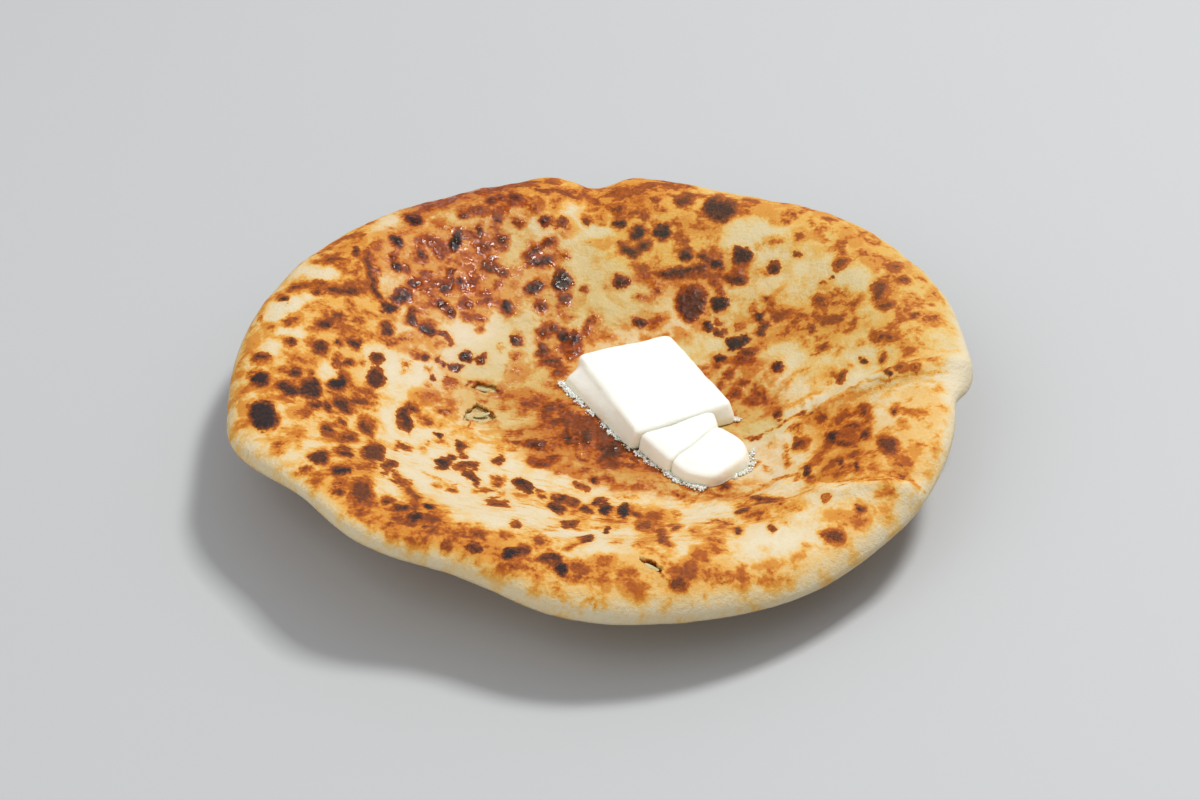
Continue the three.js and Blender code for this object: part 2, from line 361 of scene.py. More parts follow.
    def fold_height(self, x: Array, y: Array) -> Array:
        """The folds and creases of the top skin.

        Args:
            x: places across, in millimetres.
            y: places away from the camera, in millimetres.

        Returns:
            Their height in millimetres.
        """
        total = np.zeros(np.shape(x))
        for fold in self.folds:
            away, along = distance_to_path(x, y, catmull_rom(fold.line, self.fold_steps))
            total = total + fold.up * bell(away, fold.width) * smoothstep(0, self.fold_fade, along)
        return total

    def share_and_angle(self, x: Array, y: Array) -> tuple[Array, Array]:
        """The share of the radius and the bearing of places in plan."""
        angle = np.arctan2(y, x)
        return np.hypot(x, y) / self.edge_radius(angle), angle

    def top_height(self, x: Array, y: Array) -> Array:
        """The top skin, before its fine relief.

        Args:
            x: places across, in millimetres.
            y: places away from the camera, in millimetres.

        Returns:
            Its height in millimetres.
        """
        share, angle = self.share_and_angle(x, y)
        plain = self.middle(share, angle) + self.half_thickness(share)
        return plain + self.lumps(x, y) + self.fold_height(x, y)


# What the camera of the photograph sees


@dataclass(frozen=True)
class Picture:
    """The photograph's camera, which tells where a spot of the picture lies on the bread."""

    width: int = 1200
    height: int = 800
    lens: float = 85.0
    sensor: float = 36.0
    elevation: float = 37.0
    distance: float = 965.0
    target_height: float = 14.0
    mm_per_pixel: float = 0.344

    def place(self) -> Vector:
        """Finds where the camera stands.

        Returns:
            Its place in millimetres.
        """
        tilt = math.radians(self.elevation)
        back, up = self.distance * math.cos(tilt), self.distance * math.sin(tilt)
        return Vector((0, -back, up + self.target_height))

    def pixels(self, points: Array) -> tuple[Array, Array]:
        """The picture's pixels of points.

        Args:
            points: places in millimetres, one row each.

        Returns:
            The pixels across and down.
        """
        tilt = math.radians(self.elevation)
        away = points - np.array(self.place())
        depth = away[:, 1] * math.cos(tilt) - away[:, 2] * math.sin(tilt)
        rise = away[:, 1] * math.sin(tilt) + away[:, 2] * math.cos(tilt)
        pull = self.width * self.lens / self.sensor
        return self.width / 2 + pull * away[:, 0] / depth, self.height / 2 - pull * rise / depth

    def camera(self) -> None:
        """Sets up the scene's camera at the photograph's angle."""
        data = bpy.data.cameras.new("camera")
        data.lens = self.lens
        data.sensor_width = self.sensor
        camera = bpy.data.objects.new("camera", data)
        bpy.context.collection.objects.link(camera)
        camera.location = self.place() * MM
        camera.rotation_euler = (math.radians(90 - self.elevation), 0, 0)
        bpy.context.scene.camera = camera


# Marks of the griddle


class Mark(NamedTuple):
    """A browned or charred mark of the top skin.

    x and y are its pixels in the photograph, long and wide are its sizes in millimetres as they look
    from there, depth runs from 0, raw, to 1, black, and turn is in degrees against the clock.
    """

    x: float
    y: float
    long: float
    wide: float
    depth: float
    turn: float = 0.0


class Streak(NamedTuple):
    """A thin browned line along pixels of the photograph, with its width and relief in millimetres."""

    width: float
    depth: float
    up: float
    line: tuple[Point, ...]


class Zone(NamedTuple):
    """A broad soft area: its pixels, its sizes in pixels, its level and its turn in degrees."""

    x: float
    y: float
    long: float
    wide: float
    level: float
    turn: float = 0.0


BLISTERS: tuple[Mark, ...] = tuple(Mark(*row) for row in (
    # the far left side
    (336, 259, 8, 1.7, .8, -8), (357, 252, 2.3, 2, .9), (376, 245, 2.7, 1.7, .7),
    (396, 241, 4.7, 3, .95, -20), (393, 257, 2.7, 2.7, .8), (396, 268, 4, 3.2, .95),
    (407, 268, 2.7, 2, .8), (300, 286, 7.7, 1.4, .8), (319, 284, 3.3, 2.2, .75), (316, 290, 2.3, 2, .8),
    (344, 291, 13.3, 2.7, .8, -3), (283, 298, 3.7, 1.9, .88, 18), (371, 272, 15, 3, .78, -78),
    (377, 293, 6, 2.6, .85, -60), (414, 220, 5.3, 3, .95, -8), (413, 283, 4.3, 2.7, .9),
    (402, 296, 7.5, 4.4, .88), (421, 254, 4.3, 2.3, .87, -45), (426, 274, 3, 2.7, .75),
    (431, 241, 2.7, 2, .8), (438, 248, 2.7, 2, .8, -45), (441, 254, 2.7, 2, .87, -30),
    (455, 241, 7.3, 4.5, 1, 80), (450, 275, 2.7, 4, .8), (445, 286, 4, 3.3, .87),
    (452, 283, 2.7, 2.7, .8), (462, 283, 2.7, 3.3, .92), (463, 214, 4, 2, .82), (479, 211, 2.7, 2.3, .82),
    (481, 228, 2.7, 2.3, .92), (484, 193, 2.7, 1.3, .7), (493, 201, 3.4, 3, .82), (500, 198, 2.3, 2, .78),
    (516, 198, 4.3, 3, .87), (499, 219, 2.8, 2.7, .88), (518, 224, 3, 2.6, .78),
    (546, 221, 4.2, 2.6, .88, 38), (561, 223, 2.8, 3, .84), (484, 246, 4, 2, .82, 10),
    (501, 240, 4.2, 4, .8), (490, 266, 5, 2.6, .85, -15), (501, 272, 3.5, 2.4, .8, -15),
    (535, 287, 6.2, 3.4, .92, 35), (500, 284, 1.7, 1.7, .75), (562, 280, 5.4, 6, .96),
    (538, 206, 3, 3.2, .68), (534, 252, 7, 2.3, .85, 38), (549, 244, 4.5, 3, .85, 20),
    (541, 262, 9.3, 2.6, .92, -4),
    # the far side and the far right
    (583, 290, 2.4, 1.8, .78), (588, 222, 2, 1.8, .88), (618, 208, 4.6, 3, .72),
    (619, 224, 4, 3, .92, -10), (638, 232, 4.8, 3.8, .93, 45), (661, 231, 6.8, 3.6, .96, -12),
    (632, 252, 7.4, 3.6, .88, -8), (622, 246, 3.6, 2.6, .82, -35), (645, 247, 4.8, 3.6, .85, 30),
    (655, 200, 3, 1.7, .8), (685, 200, 6, 3.8, .8), (620, 282, 5.8, 4.8, .87),
    (677, 273, 12, 3.3, .85, 5), (685, 254, 5.3, 3.4, .93, 5), (720, 209, 10.3, 7.2, .88, -5),
    (716, 264, 4, 3.6, .96, -20), (703, 257, 6.5, 3, .8, -15), (697, 270, 7, 3.3, .8, 25),
    (715, 282, 2.8, 2.3, .78), (734, 279, 6.4, 3, .88, -10), (737, 270, 3.3, 1.8, .75, 20),
    (742, 255, 7.3, 6.2, .9), (774, 267, 5, 3.8, .88, 20), (692, 302, 11.8, 10, .83, 60),
    (720, 291, 2, 2.3, .75), (719, 303, 5.5, 4, .96, 5), (753, 308, 1.6, 1.6, .65),
    (759, 317, 3, 3.3, .92), (766, 324, 2.6, 2.2, .87), (761, 331, 2.6, 3, .88), (718, 322, 2.6, 2, .74),
    (738, 327, 2.3, 1.7, .68), (707, 329, 4, 3.4, .96, -10), (717, 334, 4.3, 1.8, .88, -15),
    (725, 332, 2.2, 2, .82), (735, 344, 5, 4.5, 1), (744, 340, 3, 2.6, .96, 20),
    (720, 358, 4.4, 2.8, .92), (749, 351, 6.6, 2.6, .84, 15), (745, 359, 8, 2.2, .75, 5),
    (778, 366, 2.8, 2.7, .93), (839, 377, 3.4, 3.8, .78), (842, 263, 4.6, 4.2, .72),
    (879, 291, 4.7, 8, .76), (903, 280, 4.6, 2.4, .76), (896, 268, 4, 2.3, .74),
    (885, 305, 6.4, 2.6, .76, 14), (885, 338, 7, 2.4, .74, 4), (901, 368, 3.6, 2.6, .72),
    (916, 367, 2.8, 2.6, .7), (822, 303, 4.8, 3, .72), (810, 330, 2.8, 3, .8), (834, 274, 1, 1, 1),
    (825, 280, .8, .8, .8), (788, 221, .8, .8, .8), (798, 254, 1.5, .8, .8, 60),
    (843, 252, 1.8, .8, .7, 20), (863, 362, 1, .8, .95), (881, 357, 2.8, .9, .85, 75),
    (888, 373, .9, .8, .95),
    # the right valley and the side below it
    (894, 411, 1.2, .8, .95), (840, 462, 1, 1, 1), (859, 463, 1.8, 1, 1), (859, 507, 1.1, .9, 1),
    (832, 437, 4, 3.7, .93), (865, 436, 3, 3.4, .93), (853, 427, 6.5, 2.6, .74, 5),
    (843, 443, 4, 1.8, .88, -15), (863, 410, 4, 4, .74), (888, 446, 8, 5.2, .78, -22),
    (800, 442, 4.6, 2.4, .78, 15), (806, 469, 2.7, 3, .95), (811, 478, 2.6, 1.2, .85),
    (777, 416, 3.4, 2.2, .84, 10), (765, 500, 8.8, 1.6, .84, -10), (828, 497, 2.8, 1.9, .68, 20),
    (743, 511, 4.4, 1.3, .84, 22), (833, 537, 7, 4.6, .76),
    # round the butter
    (506, 306, 3.5, 4.8, 1), (515, 339, 3.2, 3, .92), (466, 356, 3.3, 2.7, .96), (480, 360, 2.7, .9, .85),
    (484, 358, 1, 1.2, .9), (456, 367, 3.3, 1.3, .92, 5), (444, 366, 1.7, 1.7, .87),
    (433, 377, 2, 1, .85), (451, 381, 3.8, 2.6, .7), (424, 356, 1.3, 1.3, .9), (437, 359, 1.3, 1, .8),
    (563, 334, 4.6, 3.2, .96, -10), (574, 338, 4.4, 4, .88), (553, 328, 3.2, 2.6, .82),
    (542, 349, 3.4, 4.4, .84, 10), (550, 362, 6, 2.4, .84), (558, 371, 4, 3, .78, -20),
    (640, 322, 4.6, 2.5, .87, 15), (541, 306, 3.6, 4.4, .82), (545, 331, 3.6, 3, .78),
    (565, 300, 4, 5, .8), (589, 322, 2.4, 3.2, .78), (587, 330, 2.4, 2.4, .78), (573, 350, 4.6, 3.6, .72),
    (716, 366, 1.7, 1.4, .8), (731, 376, 1.5, 1.5, .8), (744, 384, 1.6, 1.3, .84),
    (758, 391, 3.4, 2, .8, -40), (737, 395, 3.2, 1.7, .8, -20), (766, 399, 2.4, 2.4, .82),
    (750, 403, 3.2, 1.4, .78, 10), (722, 384, 2, 1.7, .78),
    # the left side
    (388, 307, 4.3, 3.6, .97), (386, 329, 4, 3, .92, -20), (413, 312, 3.4, 2, .82),
    (411, 320, 3.2, 4.2, .87), (427, 329, 6, 4, .88, -10), (441, 332, 4.6, 2, .8, -10),
    (448, 338, 5, 2.8, .74, -65), (443, 304, 4.6, 3.6, .87, -40), (451, 313, 3, 3.6, .84, -30),
    (466, 304, 3.2, 2.2, .82), (291, 343, 3, 2.4, .87), (260, 357, 5, 2.8, .83, 18),
    (259, 379, 7.6, 4.6, .93, -8), (263, 415, 9, 10.2, .94, 20), (294, 374, 3.4, 3.4, .88, -30),
    (326, 323, 5, 2.8, .87, -10), (322, 348, 4.6, 5, .84, -40), (339, 343, 1.8, .8, .98, 40),
    (355, 344, 4.6, 3.2, .88, -20), (339, 383, 4.8, 4.4, .97), (350, 363, 3.2, 3, .83),
    (290, 389, 8.6, 4.4, .88, -18), (315, 386, 4, 3.6, .96), (311, 389, 8, 5.6, .88, -10),
    (327, 406, 4, 2.8, .86, -10), (315, 403, 4, 2.6, .88), (343, 404, 6, 5, .85, -50),
    (310, 376, 2, 1.6, .78), (379, 360, 4.6, 4, .83, 10), (376, 378, 5.2, 7, .84, 10),
    (345, 453, 5.2, 2.8, .88, -28), (341, 470, 5.6, 3.2, .96, 5), (337, 492, 3.6, 2.6, .88, 20),
    (341, 483, 4.6, 1.8, .72), (328, 430, 4.2, 3, .84, -20), (346, 437, 6, 2.8, .78, 10),
    (342, 424, 3, 1.6, .82), (318, 456, 6.4, 4.4, .84), (306, 412, 2.3, 2, .78),
    (251, 408, 1.1, 1.1, .75), (374, 452, 7.6, 7, .8), (367, 428, 6.6, 3.6, .8, -58),
    (361, 492, 8, 8.6, .76), (387, 501, 4, 3.2, .82), (401, 508, 4.6, 3.2, .88, -10),
    (414, 517, 5.4, 3.2, .94, 10), (429, 505, 2.7, 3, 1), (426, 526, 2.6, 1.6, .82),
    (405, 420, 4.4, 9.2, .86, 5), (412, 408, 4.6, 2.6, .82, -20), (389, 466, 6, 4, .8, 20),
    # the near left slope
    (462, 447, 3.6, 2.6, .88, -30), (463, 455, 2.6, 1.6, .8, -20), (450, 457, 3.2, 2, .88, -10),
    (444, 463, 5, 2.8, .92, -10), (470, 466, 6.6, 1.6, .84, -3), (458, 468, 2.6, 1.2, .74, -20),
    (469, 475, 3, 3, .88), (474, 481, 4, 2, .87, -40), (496, 460, 3, 2.3, .85, -5),
    (441, 436, 1, 1.2, .97), (522, 484, 6, 3.4, .9, -15), (528, 489, 3, 2.2, .9, -30),
    (497, 503, 7, 1.4, .8, -6), (536, 443, 7.2, 2.6, .88, 4), (585, 437, 6, 5.4, .82),
    (573, 432, 4, 4, .72), (548, 409, 5, 2.6, .84), (562, 408, 3.4, 2.2, .76), (594, 480, 1.7, 1.4, .97),
    (580, 488, 5.2, 1.2, .74, -20), (560, 498, 5.2, 2.2, .87, -10), (574, 502, 4, 2.6, .8, -20),
    (557, 507, 5.4, 2.2, .92, -35), (587, 510, 4, 2, .93, -15), (599, 502, 3, 2, .93, 10),
    (604, 504, 2, .9, .9), (605, 511, 4.2, 3.4, 1), (624, 511, 4.2, 3.4, 1, 5), (637, 514, 3, 2, .92, 5),
    (672, 475, 2.7, .9, .93), (725, 484, 3.8, 1, .88), (570, 523, 6.6, 1.6, .84, 10),
    (609, 531, 1.4, .8, .92), (543, 463, 4, 1.3, .84, 5), (533, 458, 2.6, 1.8, .78),
    # the near side
    (511, 554, 7.2, 4, .95, 5), (523, 551, 3.8, 2.6, .84, 5), (475, 547, 4.8, 3, .88, -5),
    (447, 545, 3.2, 3.2, .78), (477, 534, 3.3, 1.3, .84, 5), (515, 524, 2.6, 1.6, .78, -10),
    (548, 559, 8.6, 3.3, .84, -4), (561, 569, 4.2, 5.4, .95), (587, 539, 4.2, 2.2, .88, 12),
    (645, 525, 6.6, 4.8, .68), (661, 536, 2, 4.2, .8, 10), (676, 527, 2.6, 1.2, .84, 15),
    (679, 585, 7, 5.6, .74), (724, 576, 3.4, 2.2, .58, 10), (738, 531, 1.7, .8, .98, -20),
    (772, 527, 1.7, .9, .85, 20),
))

SCORCHES: tuple[Mark, ...] = tuple(Mark(*row) for row in (
    # the far left side
    (420, 207, 6, 1.7, .55), (470, 195, 5.3, 1.3, .55, 5), (529, 189, 2, 2.3, .68),
    (544, 190, 2.7, 1.3, .6), (556, 191, 6, 2.4, .52), (470, 277, 4, 4, .62), (478, 278, 3, 3.4, .6),
    (484, 300, 6, 2.8, .7, 5), (475, 316, 9, 5, .6), (478, 326, 4, 2.6, .6), (475, 258, 13, 9, .52),
    (515, 284, 2, 2, .6), (516, 271, 2.7, 1.7, .62), (548, 283, 2.4, 3.4, .62), (560, 258, 6, 3, .72, 15),
    (560, 208, 4, 2.6, .58), (566, 228, 4.6, 5.4, .5), (378, 271, 1.7, 1.7, .72),
    (328, 281, 3.4, 1.8, .6), (347, 269, 1.8, 1.4, .66), (350, 246, 11, 3.6, .5, 20),
    (505, 188, 26, 4.6, .64, 8), (560, 192, 20, 4.2, .66, -8), (592, 200, 12, 4.8, .64, -32),
    (628, 191, 20, 5.4, .64, 14), (664, 186, 22, 4.2, .62), (436, 204, 26, 5, .62, 20),
    (603, 434, 34, 10, .7, -28), (582, 424, 22, 7, .66, -24), (645, 464, 20, 3.6, .66, -18),
    # the far side and the far right
    (600, 219, 5, 3, .6), (597, 199, 5.4, 3.4, .58), (600, 243, 9, 1.8, .5, -5), (640, 243, 7, 5, .6),
    (641, 197, 3.4, 2.6, .62), (640, 200, 16, 7, .5, 8), (665, 211, 2.7, 2, .68, -10),
    (655, 207, 2, 1.3, .7), (649, 187, 3, 1.6, .55), (645, 279, 8, 2.2, .62, 5), (607, 288, 2, 2, .62),
    (650, 267, 4.8, 2, .65, 5), (684, 237, 4, 2.8, .55), (712, 224, 5.6, 2.2, .68),
    (700, 226, 14, 5, .52), (677, 283, 2.8, 1.6, .52), (657, 291, 3.6, 3.2, .72), (645, 297, 8, 3, .66),
    (705, 313, 2.8, 3.4, .62), (700, 322, 4.8, 2, .55), (763, 273, 4.6, 2.6, .55, 20),
    (786, 203, 4, 1.8, .62, 5), (762, 207, 9, 1.8, .52, -5), (765, 213, 9, 2, .5),
    (792, 213, 2.8, 2.6, .72), (776, 222, 3.4, 2.6, .52, -20), (772, 241, 11, 2.6, .5, 12),
    (800, 236, 5, 3.4, .62), (818, 237, 3, 2, .52), (815, 253, 2.7, 2.6, .45),
    (822, 213, 4.6, 1.5, .5, -10), (823, 287, 2.8, 1.6, .55, 10), (770, 300, 4, 2.6, .76),
    (790, 313, 9, 5, .62, -15), (779, 317, 2.8, 2.8, .72), (800, 318, 7, 2.8, .68),
    (840, 303, 8.6, 3.2, .68, -3), (828, 320, 11, 6, .66), (800, 330, 9, 4, .6, 15),
    (762, 342, 4.8, 2.8, .68, 20), (780, 334, 9, 2.2, .55, 22), (842, 326, 2.4, 1.6, .55),
    (822, 349, 7.8, 2.3, .74, 28), (828, 381, 2.4, 1.7, .6), (798, 405, 2.4, 1.7, .62, 20),
    (772, 404, 5, 2.4, .65, 62), (765, 393, 2.4, 4, .7, 10), (790, 381, 5, 1.3, .58, 50),
    (803, 371, 6, 1.6, .52, 25), (812, 396, 1.7, 1.4, .55), (815, 385, 2, 4, .5, 5),
    (748, 370, 4, 4.6, .55), (712, 371, 2, 2, .74), (726, 377, 1.4, 1, .84), (740, 388, 2, 1.6, .84),
    (847, 365, 3.6, 2.8, .55, -30), (848, 228, 3.4, 1.6, .6, -15), (851, 238, 7, 4, .5, -30),
    (860, 237, 2.6, 3.2, .62), (865, 254, 3.4, 2, .6), (889, 258, 3.6, 1.7, .55),
    (872, 262, 8, 4, .5, -15), (908, 268, 2.6, 2.4, .55), (890, 278, 6, 2.2, .62, 5),
    (888, 290, 6, 8, .6, 10), (933, 296, 3, 4.4, .56, -20), (912, 317, 4, 3.4, .74),
    (930, 318, 7, 4, .66), (909, 302, 4, 1.7, .58), (902, 310, 4.6, 1.6, .5), (905, 345, 5, 2, .52),
    (860, 343, 2.2, 1, .6, 20),
    # the right valley and the side below it
    (904, 424, 2.8, 2.2, .66), (858, 457, 4.2, 1.7, .74), (845, 458, 4.8, 1.7, .6),
    (862, 468, 3, 2.6, .74), (895, 463, 3.4, 2.8, .62, -20), (905, 475, 3, 1.7, .74, 10),
    (917, 450, 2.8, 3.4, .45), (930, 462, 2.2, 1.5, .45), (845, 412, 3, 3, .55),
    (820, 416, 4.8, 7, .66, 10), (845, 437, 14, 9, .6), (850, 447, 8, 4, .6), (835, 470, 9, 7, .5, 30),
    (797, 430, 5, 3.6, .68), (809, 420, 3.4, 4, .56), (785, 447, 2.4, 2, .74, 25), (774, 443, 2.4, 2, .5),
    (787, 461, 3, 6, .62, 5), (755, 465, 2.5, 2, .56, 20), (768, 469, 1.3, 1, .62),
    (884, 508, 3.4, 1.7, .55), (785, 521, 3, 1.9, .58), (780, 507, 7, 1.4, .7, -5),
    (757, 515, 9, 4, .64, 20), (795, 507, 4.8, 1.7, .6, 10), (835, 515, 8, 2.8, .56),
    (858, 519, 8.6, 2.8, .6), (797, 556, 4, 1.3, .62, 10), (803, 545, 3, 1.3, .55),
    (766, 563, 7, 1.7, .55, 3), (740, 585, 4.8, 3.4, .5), (765, 548, 2.8, .9, .45),
    # the left side
    (291, 319, 6.6, 4.6, .68, 10), (270, 329, 4, 5, .58), (281, 338, 4, 1, .6, -5), (262, 317, 1, 1, .75),
    (239, 393, 3, 4.2, .55), (242, 408, 2.4, 3.2, .5), (253, 342, 3, 6, .42, -30),
    (285, 371, 5.4, 3, .66, -25), (337, 316, 5.4, 4.2, .76), (352, 305, 4.4, 3, .66, -45),
    (359, 319, 4, 3.4, .7), (340, 327, 8, 4, .64), (380, 315, 9, 1.8, .6, -8),
    (388, 341, 7.6, 2.5, .7, -25), (352, 336, 3.4, 2.8, .64), (338, 363, 5.6, 4, .76, -50),
    (298, 354, 3.4, 3, .62), (307, 360, 9, 5, .55, -20), (335, 394, 6.8, 2.4, .66, -10),
    (360, 401, 8.4, 4.8, .74), (373, 395, 6, 2.4, .74, -30), (362, 360, 1.3, .8, .65),
    (296, 413, 5.4, 3, .55), (278, 446, 6, 4.8, .7), (297, 437, 4.6, 5.2, .58), (306, 467, 4.8, 3.6, .74),
    (294, 474, 3.4, 2, .6), (365, 467, 10, 4, .64, 5), (402, 482, 8, 3.6, .74, -42),
    (412, 493, 9, 4, .68, -42), (424, 503, 6, 4, .66, -35), (430, 519, 10, 5.4, .7),
    (418, 532, 10, 4.6, .56), (438, 514, 9, 4, .6, -10), (403, 446, 6.8, 2.5, .74, -5),
    (432, 443, 12, 1.3, .52, 3), (423, 447, 3, 1.4, .6), (425, 418, 7.4, 2.6, .68, -30),
    (441, 423, 2.8, 1.7, .6), (442, 411, 5.4, 1.3, .75), (455, 435, 5.4, 5.4, .42),
    (430, 385, 5.4, 3.4, .42), (425, 395, 10, 4, .55, -8), (398, 338, 8.8, 1.9, .64, -5),
    (418, 341, 4, 1.8, .56), (415, 355, 4.8, 3.4, .64, -30), (406, 366, 4, 2.4, .7, -30),
    (427, 370, 2.8, 1.5, .6), (438, 343, 8, 5, .52, -20),
    # round the butter
    (517, 357, 5.4, 3.4, .55, 10), (500, 348, 1.7, 1.3, .6), (520, 300, 2.7, 2, .55),
    (518, 313, 2, 2, .55), (567, 318, 3.4, 2.6, .55), (597, 320, 2.6, 4, .55), (595, 336, 3.4, 4, .55),
    (610, 337, 3.4, 2, .55), (655, 321, 9, 4, .56, 5), (648, 313, 4, 2.4, .6), (682, 335, 3.6, 1.7, .55),
    (688, 341, 2.7, 1.6, .55), (515, 371, 8.6, 5.4, .52, -10), (530, 404, 7, 2.6, .78, -5),
    (500, 390, 5, 3.4, .6, 30), (520, 394, 7, 2, .5, 5), (545, 425, 6, 4, .62),
    (560, 440, 10, 2, .7, -12), (590, 462, 12, 2.6, .62, -15), (553, 452, 3, 1.7, .62),
    (565, 467, 5, 2.2, .58), (575, 474, 4, 1, .62), (600, 440, 7, 5, .66), (620, 455, 7, 4, .6, -35),
    # the near left slope
    (498, 450, 2, 2.6, .62), (438, 484, 4, 1.9, .58, -15), (452, 488, 3.4, 1, .74, -15),
    (497, 481, 4.4, 4.8, .68, 20), (485, 491, 8, 2.6, .6, 5), (503, 477, 2.8, 2.6, .58),
    (501, 494, 3.4, 2.2, .68, -30), (520, 495, 8, 3.2, .5), (541, 495, 3.4, 1.3, .78, -20),
    (575, 511, 6, 1.3, .7, 5), (583, 518, 3.4, 1.9, .64), (625, 498, 6.8, 1.7, .55),
    (680, 495, 5.6, 2, .74, -5), (690, 502, 6, 1.8, .6), (720, 521, 7.4, 1.4, .7, -5),
    # the near side
    (655, 515, 9, 5, .62, 10), (665, 541, 3.4, 7, .66, 15), (675, 515, 3.4, 4, .56),
    (697, 532, 4, 2.6, .64, 5), (713, 541, 6.8, 4, .6, -5), (700, 556, 8, 8, .58),
    (684, 566, 4.4, 4.4, .64), (690, 570, 8, 10, .62), (734, 528, 2.8, 1, .7, -10),
    (605, 562, 8.6, 5.8, .6, 10), (580, 570, 12, 6.4, .62, 5), (580, 578, 10, 2.8, .68),
    (595, 566, 4.8, 2.8, .64), (617, 542, 4.8, 1.4, .58, 5), (645, 541, 8, 1.7, .58, 10),
    (627, 590, 5.6, 2, .6, -22), (607, 590, 2.8, 2, .5), (605, 603, 1.8, 1.4, .6), (596, 608, 1, .8, .75),
    (540, 540, 5.6, 4.6, .66), (530, 532, 7, 1.8, .55, 5), (537, 578, 2.7, 1.7, .64),
    (508, 538, 4, 1.7, .66), (490, 545, 7, 3.4, .64, -15), (465, 537, 8, 2.8, .64, -10),
    (452, 536, 9, 4.6, .62, -15), (510, 566, 4.8, 2.6, .74), (478, 560, 2.8, 1.9, .66),
))

STREAKS: tuple[Streak, ...] = tuple(Streak(*row) for row in (
    (1.1, .6, .7, ((948, 371), (930, 372), (900, 376), (880, 380), (862, 384), (850, 389), (838, 397),
        (826, 404), (815, 410))),
    (.9, .52, -.3, ((935, 378), (905, 381), (890, 385), (870, 388), (857, 394), (845, 400))),
    (.9, .76, -.9, ((815, 410), (800, 415), (785, 422), (766, 433), (752, 439), (742, 437))),
    (.9, .66, -1.1, ((700, 495), (712, 494), (750, 492), (766, 484), (786, 479), (804, 475), (816, 478),
        (840, 484), (860, 478), (880, 476), (900, 474), (912, 480), (924, 492))),
    (0, 0, .9, ((712, 502), (750, 499), (786, 486), (816, 485), (840, 491), (860, 486), (880, 483),
        (900, 481), (912, 487), (922, 498))),
    (0, 0, .8, ((752, 430), (785, 412), (815, 400), (845, 386), (880, 374), (915, 366), (940, 364))),
    (.9, .5, -.5, ((380, 442), (400, 444), (420, 446), (450, 442), (475, 443), (500, 441))),
    (1.5, .62, 0, ((530, 440), (560, 446), (590, 456), (620, 466), (640, 470))),
    (1.6, .7, 0, ((680, 483), (700, 488), (720, 495))),
    (1.4, .58, -.2, ((545, 529), (575, 527), (600, 528), (618, 527))),
    (1.9, .72, 0, ((560, 549), (572, 545), (582, 540), (592, 536))),
    (1.1, .56, -.2, ((418, 470), (432, 476), (446, 484), (458, 489))),
    (.9, .84, .2, ((466, 428), (470, 418), (470, 414), (480, 409), (494, 415))),
    (.8, .8, .2, ((463, 386), (470, 383), (479, 387))),
    (1, .86, .3, ((642, 561), (650, 564), (657, 568), (664, 573), (667, 580))),
    (1, .84, .2, ((502, 373), (506, 367), (512, 364))),
    (.9, .6, 0, ((480, 432), (492, 433), (508, 434))),
    (1.3, .8, 0, ((505, 441), (520, 444), (540, 446), (556, 447))),
))

